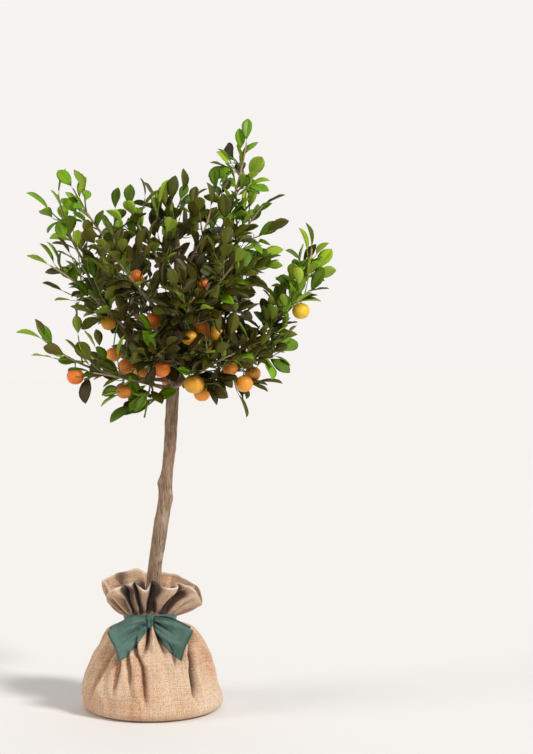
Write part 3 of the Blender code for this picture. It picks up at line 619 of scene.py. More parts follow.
def backFolds():
    # The back of the sack is gathered in the same way, by seed
    rng = random.Random(3)
    found = []
    for k in range(9):
        turn = 14 + 17.5 * k + rng.uniform(-4, 4)
        sweep = rng.uniform(-9, 9)
        foot = rng.uniform(0.024, 0.060)
        ridge = k % 3 == 1
        depth = rng.uniform(0.003, 0.006) * -1 if ridge else rng.uniform(0.007, 0.012)
        width = rng.uniform(0.0038, 0.0060)
        found.append((
            ((turn, 0.124), (turn + 0.3 * sweep, 0.104), (turn + 0.7 * sweep, 0.078), (turn + sweep, foot)),
            depth, width,
        ))
    return found


profileHeights = np.linspace(0, sack["seamHeight"], 275)
profileRadii = np.array([spline(sack["profile"], h) for h in profileHeights])


def radiusAt(height, turn=-90.0):
    # The sack leans out further on the left than on the right
    left, right = (np.interp(height, profileHeights, profileRadii[:, side]) for side in (0, 1))
    return left + (right - left) * (1 + np.cos(np.radians(turn))) / 2


def drawnAside(height):
    return smoothStep(0.095, 0.130, height)


def neckShift(points, share):
    # Draws the neck aside and tilts it up at the front
    moved = np.array(points, float)
    moved[..., 2] = moved[..., 2] - sack["neckTilt"] * moved[..., 1] * share
    moved[..., 0] = moved[..., 0] + sack["neckOffset"] * share
    return moved


def waves(turn, height, salt, scale):
    # Smooth noise over the cloth, for arrays of places
    flat = np.empty(turn.size)
    angle = np.radians(turn.ravel())
    for k, (a, h) in enumerate(zip(angle, height.ravel())):
        flat[k] = lumps(0.1 * math.cos(a) * scale, 0.1 * math.sin(a) * scale, h * scale + salt)
    return flat.reshape(turn.shape)


allFolds = (*folds, *backFolds())


def furrows(turn, height, radius):
    # How far the folds move the cloth in or out, and how much painted shade each place gets in a crease (0
    # to 1)
    out, crease = np.zeros_like(radius), np.zeros_like(radius)
    look = foldLook
    for line, depth, width in allFolds:
        turns, heights = np.array(line)[::-1].T
        foot, top = heights[0], heights[-1]
        aside = turnedApart(turn, np.interp(height, heights, turns)) * math.pi / 180 * radius
        fade = smoothStep(foot - 0.012, foot + 0.020, height)
        fade = fade * (1 - smoothStep(top - 0.004, top + 0.008, height))
        wide = width * (np.where(aside < 0, look["left"], look["right"]) if depth > 0 else 1.0)
        groove = np.exp(-np.abs(aside / wide) ** 1.7)
        lips = np.exp(-((np.abs(aside) - look["lipPlace"] * width) / (look["lipWidth"] * width)) ** 2)
        out -= depth * fade * (groove - look["lip"] * lips)
        # painted shade: the deeper a fold, the darker its crease is painted
        dark = np.clip(depth / look["fullDepth"], 0, 1) ** 3 * look["dark"]
        crease = np.maximum(crease, fade * groove**1.5 * dark)
    return out, crease


def sackSurface(turn, height):
    # Points of the cloth for arrays of degrees round and heights
    radius = radiusAt(height, turn)
    out, _ = furrows(turn, height, radius)
    # fine gathers under the tie
    phase = waves(turn, height * 0.15, 4.0, 30.0) * 2.6
    gather = np.abs(np.sin(np.radians(turn) * sack["pleats"] / 2 + phase))
    strength = 0.75 + 0.6 * waves(turn, height * 0.1, 9.0, 24.0)
    rise = smoothStep(0.082, 0.124, height) * (1 - smoothStep(0.1265, 0.1325, height) * 0.75)
    out += sack["gather"] * (gather - 0.62) * rise * strength
    soft = smoothStep(0.004, 0.030, height) * (1 - smoothStep(0.118, 0.131, height))
    broad, fine = sack["swells"]
    out += soft * (broad * waves(turn, height, 1.0, 26.0) + fine * waves(turn, height, 7.0, 75.0))
    # the cloth hangs in a low roll above the edge of the pot, fuller on the right
    out += sack["roll"] * np.exp(-((height - 0.020) / 0.014) ** 2) * np.cos(np.radians(turn)) * 0.8
    pressed = smoothStep(0.104, 0.1255, height) * (1 - smoothStep(0.1290, 0.1345, height))
    out -= sack["knotDent"] * np.exp(-(turnedApart(turn, -92) / 24.0) ** 2) * pressed
    return neckShift(ringPoints(radius + out, np.radians(turn), height), drawnAside(height))


def makeSack():
    count = sack["around"]
    turns = np.arange(count) * 360.0 / count
    heights = np.concatenate([sack["footRows"], np.linspace(0.010, sack["seamHeight"], sack["rows"])])
    turn, height = np.meshgrid(turns, heights)
    flank = sackSurface(turn, height)
    shares = np.arange(1, sack["underside"]) / sack["underside"]
    inner = [flank[0] * [share, share, 0.0] for share in shares]
    points = np.concatenate([np.array(inner).reshape(-1, 3), flank.reshape(-1, 3), [[0.0, 0.0, 0.0]]])
    faces = gridFaces(len(inner) + len(heights), count, True) + fanFaces(len(points) - 1, 0, count)
    # the weave's threads run round and up the cloth as it was cut
    under = np.linspace(0.0, sack["underCloth"], len(inner) + 1)[1:]
    upFlank = np.concatenate([[0], np.cumsum(np.hypot(np.diff(radiusAt(heights)), np.diff(heights)))])
    lengths = np.concatenate([under, sack["underCloth"] + upFlank])
    uv = np.stack(np.meshgrid(np.radians(turns) * sack["clothRadius"], lengths), axis=-1).reshape(-1, 2)
    uv = np.concatenate([uv, [[0.0, 0.0]]])
    crease = np.zeros(len(points))
    # painted shade in the creases of the folds, for the finish
    crease[len(inner) * count:-1] = furrows(turn, height, radiusAt(height, turn))[1].ravel()
    mesh = outwards(meshFrom("sackCloth", points, faces, uv, {"crease": crease}))
    made = linked("sackCloth", mesh, hessian)
    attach(made, "root")
    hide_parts("sack_body")


makeSack()
print("sack made")


# Collar


collar = {
    "rim": (  # degrees round, radius, height of the rim
        (-169, 0.0690, 0.1680), (-158, 0.0745, 0.1765), (-145, 0.0750, 0.1875), (-133, 0.0735, 0.1950),
        (-123, 0.0725, 0.1985), (-115, 0.0705, 0.1990), (-108, 0.0650, 0.1935), (-102, 0.0640, 0.1895),
        (-96, 0.0650, 0.1940), (-92, 0.0640, 0.2000), (-86, 0.0660, 0.2010), (-80, 0.0690, 0.1960),
        (-72, 0.0720, 0.1935), (-60, 0.0720, 0.1935), (-53, 0.0690, 0.1965), (-44, 0.0680, 0.1940),
        (-34, 0.0710, 0.1885), (-24, 0.0725, 0.1805), (-15, 0.0730, 0.1695), (-3, 0.0755, 0.1580),
        (7, 0.0765, 0.1640), (16, 0.0750, 0.1745), (28, 0.0735, 0.1815), (41, 0.0725, 0.1852),
        (57, 0.0730, 0.1910), (78, 0.0715, 0.1942), (94, 0.0700, 0.1925), (109, 0.0745, 0.2010),
        (122, 0.0735, 0.1978), (136, 0.0755, 0.1965), (151, 0.0765, 0.1935), (164, 0.0790, 0.1905),
        (175, 0.0748, 0.1905), (183, 0.0665, 0.1790),
    ),
    # Each fold: degrees round at the tie and at the rim, share of the height where it opens out, how far in
    # it goes (1 is the inmost) below that and at the rim, half width, and how far its left lip laps over
    "folds": (
        (-151, -158, 0.95, 0.70, 0.05, 0.0046, 1.2), (-137, -145, 0.85, 0.60, 0.0, 0.0040, 1.0),
        (-128, -136, 1.10, 1.00, 0.22, 0.0064, 1.4), (-111, -121, 1.12, 1.00, 0.34, 0.0052, 1.5),
        (-98, -92, 1.16, 1.00, 0.40, 0.0074, 0.4), (-82, -87, 0.66, 0.95, 0.0, 0.0034, 0.2),
        (-71, -54, 1.10, 1.00, 0.12, 0.0066, 0.2), (-62, -37, 1.00, 1.00, 0.0, 0.0062, 0.2),
        (-38, -18, 0.80, 0.60, 0.0, 0.0040, 1.0), (-16, -4, 0.90, 0.60, 0.0, 0.0042, 1.0),
        (6, 12, 0.85, 0.60, 0.0, 0.0046, 1.0), (26, 30, 0.95, 0.70, 0.05, 0.0050, 1.2),
        (47, 50, 0.85, 0.60, 0.0, 0.0046, 1.0), (66, 68, 0.95, 0.70, 0.05, 0.0052, 1.2),
        (86, 88, 0.80, 0.60, 0.0, 0.0046, 1.0), (104, 102, 1.00, 0.75, 0.08, 0.0052, 1.2),
        (124, 122, 0.85, 0.60, 0.0, 0.0046, 1.0), (143, 142, 0.95, 0.70, 0.05, 0.0050, 1.2),
        (160, 158, 0.85, 0.60, 0.0, 0.0044, 1.0), (178, 173, 0.95, 0.70, 0.05, 0.0048, 1.2),
        (196, 191, 0.85, 0.60, 0.0, 0.0044, 1.0),
    ),
    "inmost": 0.0362, "upright": 0.075, "uprightFront": 0.085, "pleats": 64, "pleat": 0.0013,
    "swells": (0.0012, 0.0020), "around": 840, "rows": 52, "cloth": 0.0010, "hemCloth": 0.0014,
    "hemShare": 0.955, "length": 0.062,
    "stitch": (0.0028, 0.0006), "stitchGap": 0.0052, "stitchRows": 0.012,
}


def rimAt(turns):
    # Radius and height of the rim round the collar, on a smooth closed curve
    rows = np.array(collar["rim"], float)
    rows = np.concatenate([rows[-3:] - [360, 0, 0], rows, rows[:3] + [360, 0, 0]])
    start = collar["rim"][0][0]
    asked = (turns - start) % 360 + start
    return np.array([spline(rows, t) for t in asked])


def inFront(turns):
    return np.exp(-(turnedApart(turns, -90) / 20.0) ** 2)


def collarSheet():
    # Rows of points from the tie to the rim, and how much painted shade each gets in the valleys
    turns = np.arange(collar["around"]) * 360.0 / collar["around"] + collar["rim"][0][0]
    rim = rimAt(turns)
    rows, creaseShades = [], []
    shares = np.linspace(0, 1, collar["rows"]) ** 0.95
    upright = collar["upright"] + collar["uprightFront"] * inFront(turns)
    for share in shares:
        opened = np.clip((share - upright) / (1 - upright), 0, 1)
        height = sack["seamHeight"] + (rim[:, 1] - sack["seamHeight"]) * share
        flare = np.sin(math.pi / 2 * opened) ** 0.86
        radius = sack["neckRadius"] - 0.0004 + (rim[:, 0] - sack["neckRadius"]) * flare
        outside = radius.copy()
        grown = smoothStep(0.0, 0.16, opened)
        shift, shade = np.zeros_like(radius), np.zeros_like(radius)
        for foot, top, end, inward, inRim, half, lap in collar["folds"]:
            aside = turnedApart(turns, foot + (top - foot) * share) * math.pi / 180 * outside
            width = half * (0.36 + 0.85 * share)
            over = inRim + (inward - inRim) * (1 - smoothStep(end - 0.40, end, share))
            steep = aside < 0
            wide, power = width * np.where(steep, 0.50, 1.75), np.where(steep, 2.4, 1.5)
            groove = np.exp(-np.abs(aside / wide) ** power)
            lips = np.exp(-((np.abs(aside) - 2.2 * width) / (1.1 * width)) ** 2)
            radius -= (outside - collar["inmost"]) * over * grown * groove
            radius += 0.0018 * over * grown * lips * steep
            lapped = np.exp(-((aside + 1.0 * width) / (0.75 * width)) ** 2)
            shift += lap * width * lapped * over * grown * (1 - groove)
            # painted shade in each valley, as strong as the fold goes in
            dark = np.exp(-np.abs((aside - 0.35 * width) / (width * np.where(steep, 0.8, 1.7))) ** 1.8)
            shade = np.maximum(shade, dark * (over * inward) ** 1.3 * smoothStep(-0.02, 0.04, opened))
        # fine pleats at the tie
        angle = np.radians(turns)
        pleat = np.abs(np.sin(angle * collar["pleats"] / 2 + 1.5 * np.sin(angle * 5)))
        pleat = (pleat - 0.5) * (1 - smoothStep(0.10, 0.45, share)) * (0.3 + 0.7 * grown)
        radius += collar["pleat"] * pleat
        level = np.full_like(turns, share * 0.06)
        height += collar["swells"][0] * waves(turns, level, 3.0, 70.0) * opened
        radius += collar["swells"][1] * waves(turns, level, 5.0, 45.0) * opened
        points = ringPoints(radius, angle + shift / outside, height)
        rows.append(neckShift(points, 1 - float(smoothStep(0.3, 1.0, share))))
        creaseShades.append(shade)
    return np.array(rows), turns, shares, np.array(creaseShades)


def makeCollar():
    sheet, turns, shares, creaseShades = collarSheet()
    hem = smoothStep(collar["hemShare"] - 0.015, collar["hemShare"] + 0.010, shares)
    thickness = collar["cloth"] + (collar["hemCloth"] - collar["cloth"]) * hem
    thickness[-2:] *= [0.85, 0.45]
    hem, thickness = (np.repeat(values[:, None], len(turns), axis=1) for values in (hem, thickness))
    along, up = np.radians(turns) * sack["clothRadius"], 0.20 + shares * collar["length"]
    uv = np.stack(np.meshgrid(along, up), axis=-1)
    # the crease value carries the painted shade of the valleys
    mesh = closedSheet("sackCollar", sheet, thickness, True, uv, {"hem": hem, "crease": creaseShades})
    made = linked("sackCollar", mesh, hessian)
    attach(made, "root")
    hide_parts("sack_collar")
    return sheet[int(np.searchsorted(shares, collar["hemShare"] - 0.015))]


# Stitches along a line: small threads laid at even gaps by Geometry Nodes
def stitchRecipe():
    desk = Recipe("stitch_row", (
        ("Stitch", "NodeSocketObject"), ("Gap", "NodeSocketFloat"), ("Material", "NodeSocketMaterial"),
    ))
    line = desk.add("GeometryNodeMeshToCurve", None, {0: desk.given()})
    places = desk.add(
        "GeometryNodeCurveToPoints", {"mode": "LENGTH"}, {"Curve": line, "Length": desk.given("Gap")}
    )
    stitch = desk.add("GeometryNodeObjectInfo", None, {"Object": desk.given("Stitch")}, out=4)
    laid = desk.add("GeometryNodeInstanceOnPoints", None, {
        "Points": places, "Instance": stitch, "Rotation": desk.part(places, "Rotation"),
    })
    return desk.close(laid)


def stitchMesh(length, thick):
    # A short thread along Z, sunk at both ends
    rows, sides = ((-0.5, 0.05), (-0.42, 0.7), (0.0, 1.0), (0.42, 0.7), (0.5, 0.05)), 6
    points = [
        (thick / 2 * swell * math.cos(turn), thick / 2 * swell * math.sin(turn), place * length)
        for place, swell in rows for turn in roundTurns(sides)
    ]
    return outwards(meshFrom("stitch", points, tubeFaces(len(rows), sides)))


def lineObject(name, lines, closed=False):
    # Loose edges through rows of points
    points, edges = [], []
    for line in lines:
        start = len(points)
        points += [tuple(p) for p in line]
        edges += [(start + k, start + k + 1) for k in range(len(line) - 1)]
        if closed:
            edges.append((start + len(line) - 1, start))
    mesh = bpy.data.meshes.new(name)
    mesh.from_pydata(points, edges, [])
    return linked(name, mesh)


def hiddenSource(name, mesh):
    made = bpy.data.objects.new(name, mesh)
    mesh.shade_smooth()
    return made


stitches = stitchRecipe()
hemLine = makeCollar()
apart = hemLine * [collar["stitchRows"], collar["stitchRows"], 0.0]
hemLines = (hemLine + apart, hemLine - apart)
collarStitches = stitches.make(lineObject("collarStitches", hemLines, closed=True), {
    "Stitch": hiddenSource("hemStitch", stitchMesh(*collar["stitch"])), "Gap": collar["stitchGap"],
    "Material": hessian,
})
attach(collarStitches, "root")
print("collar made")


# Soil


soil = {
    "radius": 0.0345, "aside": -0.003, "height": 0.1500, "mound": 0.0035, "crumbs": 0.0016, "depth": 0.006,
    "rings": 22, "around": 72,
}


def makeSoil():
    # A shallow closed plug with a slight mound where the stem stands
    rings, count = soil["rings"], soil["around"]
    points = []
    for r in range(1, rings + 1):
        radius = soil["radius"] * r / rings
        for turn in roundTurns(count):
            x, y = radius * math.cos(turn) + soil["aside"], radius * math.sin(turn)
            lift = soil["crumbs"] * noise.fractal(Vector((x * 260, y * 260, 2.0)), 1.0, 2.0, 3)
            lift += soil["mound"] * math.exp(-(radius / 0.014) ** 2)
            points.append((x, y, soil["height"] + lift - 0.10 * y - 0.003 * (r == rings)))
    points.append((soil["aside"], 0.0, soil["height"] + soil["mound"]))
    base, edge = len(points), (rings - 1) * count
    points += [(x, y, z - soil["depth"]) for x, y, z in points[edge:edge + count]]
    faces = gridFaces(rings, count, True) + fanFaces(base - 1, 0, count)
    faces += [(edge + c, base + c, base + (c + 1) % count, edge + (c + 1) % count) for c in range(count)]
    faces.append(tuple(range(base, base + count)))
    made = linked("soilTop", outwards(meshFrom("soilTop", points, faces)), soilCrumbs)
    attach(made, "root")
    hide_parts("soil")


makeSoil()
print("soil made")


# Ribbon and bow


bow = {
    "bandRadius": 0.0388, "bandWidth": 0.0094, "bandAround": 300, "bandRows": 15, "bandCloth": 0.039,
    "knot": (0.0068, 0.0072, 0.0102), "knotPlace": (-0.0040, -0.0472, 0.1400),
    "knotAround": 72, "knotRows": 44, "cloth": 0.0009,
    "topCorner": (0.0627, -0.0700, 0.1297), "lowCorner": (0.0450, -0.0860, 0.0877),
    "topArch": 0.0062, "lowBulge": 0.0100, "spans": 54, "across": 44, "lift": 0.0022,
    # how far the folds, the small folds, the long crease, the belly and the hem's curl stand out or in
    "fan": 0.0084, "fine": 0.0034, "crease": 0.0070, "belly": 0.0068, "curl": 0.0016,
    "length": 0.062, "width": 0.050, "stitch": (0.0022, 0.0006), "stitchGap": 0.0032, "stitchShare": 0.935,
}


def makeBand():
    count, rows = bow["bandAround"], bow["bandRows"]
    turns = np.arange(count) * 360.0 / count
    angle = np.radians(turns)
    sheet = []
    for v in np.linspace(-0.5, 0.5, rows):
        rise = v * bow["bandWidth"] * (1 - 0.25 * inFront(turns))
        crease = 0.0005 * np.sin(v * 11 + 1.4 * np.sin(angle * 5))
        crease = crease + 0.0004 * waves(turns, np.full_like(turns, v * 0.012), 2.0, 90.0)
        radius = bow["bandRadius"] + 0.0006 + crease - 0.0008 * abs(2 * v) ** 4
        sheet.append(neckShift(ringPoints(radius, angle, sack["seamHeight"] + rise), 1.0))
    uv = np.stack(np.meshgrid(angle * bow["bandCloth"], np.linspace(0, bow["bandWidth"], rows)), axis=-1)
    hem = np.zeros((rows, count))
    hem[:2] = hem[-2:] = 0.5
    thickness = np.full((rows, count), bow["cloth"])
    mesh = closedSheet("ribbonBand", np.array(sheet), thickness, True, uv, {"hem": hem})
    made = linked("ribbonBand", mesh, ribbonCotton)
    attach(made, "root")
    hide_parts("ribbon_band")


def bulged(value, power):
    return math.copysign(abs(value) ** power, value)


def makeKnot():
    # A wrapped knot: rounded, pinched at its waist, with upright folds
    count, rows = bow["knotAround"], bow["knotRows"]
    wide, deep, tall = bow["knot"]
    cx, cy, cz = bow["knotPlace"]
    points, uv = [], []
    for r in range(rows):
        rise = math.radians(-90 + 180 * (r + 0.5) / rows)
        up, ring = bulged(math.sin(rise), 0.78), math.cos(rise) ** 0.55
        for turn in roundTurns(count):
            x, y = bulged(math.cos(turn), 0.75), bulged(math.sin(turn), 0.75)
            fold = abs(math.cos(turn * 5 + 0.35 * up + 0.8 * math.sin(2 * turn))) ** 0.6
            swell = 1.10 - 0.40 * (1 - fold) * (1 if y < 0.4 else 0.2) - 0.09 * math.exp(-(up / 0.45) ** 2)
            points.append((cx + wide * x * ring * swell, cy + deep * y * ring * swell, cz + tall * up))
            uv.append((turn * 0.007, r / rows * 0.025))
    mesh = outwards(meshFrom("bowKnot", points, tubeFaces(rows, count), uv, {"hem": np.zeros(len(points))}))
    made = linked("bowKnot", mesh, ribbonCotton)
    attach(made, "root")
    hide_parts("bow_knot")


def clearOfSack(points, gap):
    # Moves points outwards until they stand off the sack's cloth
    moved = points.copy()
    height = moved[..., 2]
    for _ in range(3):
        height = points[..., 2] + sack["neckTilt"] * points[..., 1] * drawnAside(height)
    aside = sack["neckOffset"] * drawnAside(height)
    turn = np.degrees(np.arctan2(moved[..., 1], moved[..., 0] - aside))
    cloth = sackSurface(turn, np.clip(height, 0.01, 0.1365))
    reach = np.hypot(cloth[..., 0] - aside, cloth[..., 1])
    here = np.hypot(moved[..., 0] - aside, moved[..., 1])
    push = np.maximum(0.0, reach + gap - here)
    moved[..., 0] += (moved[..., 0] - aside) / here * push
    moved[..., 1] += moved[..., 1] / here * push
    return moved


def bowLayer(side, back):
    # One layer of a bow end, from the knot's flank to its slanted hem
    cx, cy, cz = bow["knotPlace"]
    shift = 0.0035 if back else 0.0
    topStart = np.array([cx + side * 0.0035, cy - 0.0005 + shift, cz + 0.0060])
    lowStart = np.array([cx + side * 0.0035, cy - 0.0010 + shift, cz - 0.0062])
    corners = (bow["topCorner"], bow["lowCorner"])
    topEnd, lowEnd = ([cx, 0, 0] + np.array(corner) * [side, 1, 1] for corner in corners)
    if back:
        topEnd += [side * -0.0035, 0.0065, 0.0048]
        lowEnd += [side * -0.0045, 0.0060, 0.0035]
    a = np.linspace(0, 1, bow["spans"])[None, :]
    b = np.linspace(0, 1, bow["across"])[:, None]
    arch = bow["topArch"] * np.sin(np.pi * a**0.75)
    sag = bow["lowBulge"] * np.sin(np.pi * a**0.62)
    top = topStart + (topEnd - topStart) * a[..., None] + np.array([0, 0, 1]) * arch[..., None]
    low = lowStart + (lowEnd - lowStart) * a[..., None] - np.array([0, 0, 1]) * sag[..., None]
    sheet = top + (low - top) * b[..., None]
    # folds fan out from the knot and die away before the hem
    fan = np.sin(np.pi * (3.2 * b + 0.25 * side + 0.5 * back) + 1.1 * a)
    fan = fan * (1 - a) ** 0.8 * smoothStep(0.0, 0.12, a)
    crease = np.exp(-((b - (0.36 + 0.15 * a)) / 0.07) ** 2)
    crease = crease * smoothStep(0.05, 0.2, a) * (1 - smoothStep(0.45, 0.8, a))
    belly = np.sin(np.pi * np.clip(a * 1.05, 0, 1)) * np.sin(np.pi * b) ** 0.7 * (0.4 if back else 1.0)
    fine = np.sin(np.pi * (7.5 * b + 0.6 * side) + 2.4 * a)
    fine = fine * (1 - smoothStep(0.25, 0.75, a)) * smoothStep(0.0, 0.08, a)
    curl = np.sin(2.2 * np.pi * b + 0.6) * smoothStep(0.6, 1.0, a)
    forward = bow["fan"] * fan + bow["fine"] * fine - bow["crease"] * crease + bow["belly"] * belly
    outward = sheet * [1, 1, 0]
    outward = outward / np.linalg.norm(outward, axis=-1, keepdims=True)
    sheet = sheet + outward * (forward + bow["curl"] * curl)[..., None]
    return clearOfSack(sheet, bow["lift"] * (0.45 if back else 1.0))


def makeBowEnd(name, node, side):
    # Both layers of a bow end. It gives the line of its stitches.
    b, a = np.meshgrid(np.linspace(0, 1, bow["across"]), np.linspace(0, 1, bow["spans"]), indexing="ij")
    edges = np.maximum(smoothStep(0.970, 0.985, b), smoothStep(0.030, 0.015, b))
    hem = np.maximum(smoothStep(0.955, 0.968, a), edges)
    thickness = bow["cloth"] * (1 + 0.5 * hem)
    uv = np.stack([a * bow["length"], b * bow["width"]], axis=-1)
    sheets = [bowLayer(side, back) for back in (True, False)]
    layers = [closedSheet(name, sheet, thickness, False, uv, {"hem": hem}) for sheet in sheets]
    made = linked(name, outwards(*layers), ribbonCotton)
    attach(made, "root")
    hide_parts(node)
    return sheets[1][1:-1, int(bow["spans"] * bow["stitchShare"])] + np.array([0, -0.0007, 0])


makeBand()
makeKnot()
bowHems = (makeBowEnd("bowLoopLeft", "bow_loop_left", -1), makeBowEnd("bowLoopRight", "bow_loop_right", 1))
bowStitches = stitches.make(lineObject("bowStitches", bowHems), {
    "Stitch": hiddenSource("bowStitch", stitchMesh(*bow["stitch"])), "Gap": bow["stitchGap"],
    "Material": ribbonCotton,
})
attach(bowStitches, "root")
print("ribbon and bow made")


# Trunk and limbs


trunk = {
    "axis": (  # height, sideways place, radius
        (0.150, -0.0032, 0.0165), (0.158, -0.0024, 0.0130), (0.166, -0.0015, 0.0114),
        (0.190, 0.0010, 0.0103), (0.213, 0.0035, 0.0102), (0.245, 0.0085, 0.0109), (0.270, 0.0120, 0.0111),
        (0.314, 0.0188, 0.0103), (0.340, 0.0200, 0.0101), (0.362, 0.0226, 0.0087), (0.400, 0.0265, 0.0093),
        (0.463, 0.0298, 0.0094), (0.520, 0.0335, 0.0089), (0.600, 0.0365, 0.0069), (0.660, 0.0385, 0.0051),
        (0.690, 0.0390, 0.0041),
    ),
    "sides": 60, "rings": 330,
    "knobs": (  # height, degrees round, swell, spread up, spread round in degrees
        (0.342, 180, 0.0024, 0.0085, 42), (0.3165, -8, 0.0018, 0.0090, 40),
        (0.287, 200, 0.0008, 0.0100, 50), (0.2085, -20, 0.0010, 0.0090, 38),
        (0.432, 150, 0.0009, 0.0080, 40), (0.255, 80, 0.0014, 0.0080, 45),
        (0.390, 60, 0.0012, 0.0070, 45), (0.232, -120, 0.0007, 0.0070, 30),
    ),
    "scars": (  # height, degrees round, how pale, spread up, spread round in degrees
        (0.287, -80, 0.55, 0.0080, 26), (0.209, -25, 0.50, 0.0070, 22), (0.345, -150, 0.35, 0.0050, 24),
    ),
    "bumps": 0.00042, "smallBumps": 0.00030, "furrow": 0.00055, "rootFlare": 0.0016,
}


def trunkCentre(height):
    return Vector((float(spline(trunk["axis"], height)[0]), 0.004 * math.sin(9.0 * height), height))


def marksAt(rows, height, degrees):
    # How much each knob or scar of the trunk counts at a place
    return [
        much * math.exp(-(((height - place) / up) ** 2 + (turnedApart(degrees, around) / spread) ** 2))
        for place, around, much, up, spread in rows
    ]


def makeTrunkShape():
    sides, rings = trunk["sides"], trunk["rings"]
    foot, top = trunk["axis"][0][0], trunk["axis"][-1][0]
    points, scars = [], []
    for k in range(rings):
        height = foot + (top - foot) * k / (rings - 1)
        centre, radius = trunkCentre(height), float(spline(trunk["axis"], height)[1])
        for i in range(sides):
            degrees = 360.0 * i / sides
            turn = math.radians(degrees)
            x, y = math.cos(turn), math.sin(turn)
            out = radius + 0.0004 * math.cos(3 * turn + 14 * height)
            out += sum(marksAt(trunk["knobs"], height, degrees))
            out += trunk["bumps"] * lumps(x * 9, y * 9, height * 60)
            out += trunk["smallBumps"] * lumps(x * 22, y * 22, height * 110 + 5)
            furrow = abs(lumps(x * 6.5, y * 6.5, height * 24 + 9))
            out -= trunk["furrow"] * max(0.0, 0.16 - furrow) / 0.16
            if height < 0.19:
                out += trunk["rootFlare"] * max(0.0, math.cos(4 * turn + 1.0)) * (0.19 - height) / 0.04
            points.append(centre + Vector((x, y, 0)) * out)
            scars.append(max(marksAt(trunk["scars"], height, degrees)))
    return points, tubeFaces(rings, sides), scars, [0.0] * len(points)


# One row for each limb: name, height of its foot, where it heads from, tip, where it heads at the tip,
# bare share, thickness, side twigs and their reach. They are the limbs that the frame has.
limbs = (
    ("low_left", 0.497, (178, 0), (-0.160, -0.045, 0.560), (160, 38), 0.45, 0.0027, 4, 0.036),
    ("mid_left", 0.519, (200, 28), (-0.150, -0.020, 0.668), (185, 30), 0.36, 0.0034, 5, 0.054),
    ("left", 0.553, (172, 32), (-0.139, 0.020, 0.775), (150, 80), 0.34, 0.0032, 4, 0.040),
    ("top_left", 0.594, (188, 48), (-0.116, -0.010, 0.782), (165, 62), 0.30, 0.0032, 4, 0.050),
    ("top_near_left", 0.628, (225, 58), (-0.030, -0.040, 0.752), (200, 70), 0.20, 0.0028, 4, 0.050),
    ("top_right", 0.645, (340, 55), (0.088, -0.030, 0.752), (20, 75), 0.20, 0.0028, 4, 0.046),
    ("tall_right", 0.614, (20, 50), (0.143, 0.015, 0.853), (20, 80), 0.34, 0.0032, 4, 0.036),
    ("upper_right", 0.580, (352, 42), (0.166, -0.015, 0.757), (340, 48), 0.34, 0.0032, 4, 0.050),
    ("right", 0.548, (10, 28), (0.162, 0.030, 0.680), (10, 35), 0.32, 0.0030, 4, 0.050),
    ("far_right", 0.519, (340, 10), (0.238, -0.030, 0.693), (5, 85), 0.48, 0.0036, 4, 0.034),
    ("low_right", 0.495, (345, 4), (0.195, -0.030, 0.572), (350, 55), 0.26, 0.0032, 6, 0.046),
    ("low_twig", 0.474, (215, -20), (-0.026, -0.045, 0.462), (205, -25), 0.0, 0.0018, 1, 0.026),
    ("low_front", 0.512, (262, 14), (0.005, -0.120, 0.548), (268, 12), 0.16, 0.0030, 4, 0.050),
    ("low_front_left", 0.484, (230, 8), (-0.085, -0.090, 0.512), (205, 8), 0.18, 0.0030, 5, 0.048),
    ("low_front_right", 0.486, (304, 14), (0.120, -0.095, 0.540), (330, 20), 0.16, 0.0030, 5, 0.048),
    ("front", 0.536, (290, 30), (0.060, -0.150, 0.622), (290, 30), 0.22, 0.0032, 5, 0.052),
    ("front_left", 0.575, (232, 30), (-0.062, -0.120, 0.690), (225, 42), 0.22, 0.0030, 5, 0.052),
    ("front_right", 0.562, (318, 34), (0.118, -0.105, 0.668), (318, 42), 0.22, 0.0030, 5, 0.052),
    ("low_back", 0.505, (95, 10), (0.020, 0.135, 0.545), (95, 18), 0.20, 0.0030, 5, 0.052),
    ("low_back_left", 0.482, (145, 8), (-0.095, 0.085, 0.520), (150, 15), 0.20, 0.0030, 4, 0.048),
    ("back_left", 0.534, (130, 30), (-0.080, 0.120, 0.655), (135, 42), 0.22, 0.0030, 5, 0.054),
    ("back_right", 0.530, (50, 22), (0.128, 0.115, 0.615), (50, 36), 0.22, 0.0030, 5, 0.054),
    ("back", 0.602, (85, 48), (0.035, 0.110, 0.735), (85, 60), 0.22, 0.0028, 5, 0.052),
    ("leader", 0.6903, (90, 86), (0.032, 0.010, 0.762), (180, 80), 0.0, 0.0036, 4, 0.046),
)
limbLook = {"tip": 0.0012, "sides": 12, "rings": 34, "foot": 0.0010, "swollenFoot": 0.0022, "bumps": 0.10}


def limbCurve(limb):
    start, end = trunkCentre(limb[1]), Vector(limb[3])
    handle = (end - start).length * 0.38
    first, last = start + roundFrom(*limb[2]) * handle, end - roundFrom(*limb[4]) * handle

    def at(share):
        rest = 1 - share
        near, far = 3 * rest * rest * share, 3 * rest * share**2
        return start * rest**3 + first * near + last * far + end * share**3

    return at


def limbRadius(limb, share):
    tip, thick = limbLook["tip"], limb[6]
    return tip + (thick - tip) * (1 - share) + limbLook["foot"] * math.exp(-share / 0.05)


def headingAt(pathAt, share):
    return (pathAt(share + 0.004) - pathAt(share - 0.004)).normalized()


def headingWithin(pathAt, share, step):
    # The same over a longer piece that stays on the path
    return (pathAt(min(share + step, 1.0)) - pathAt(max(share - step, 0.0))).normalized()


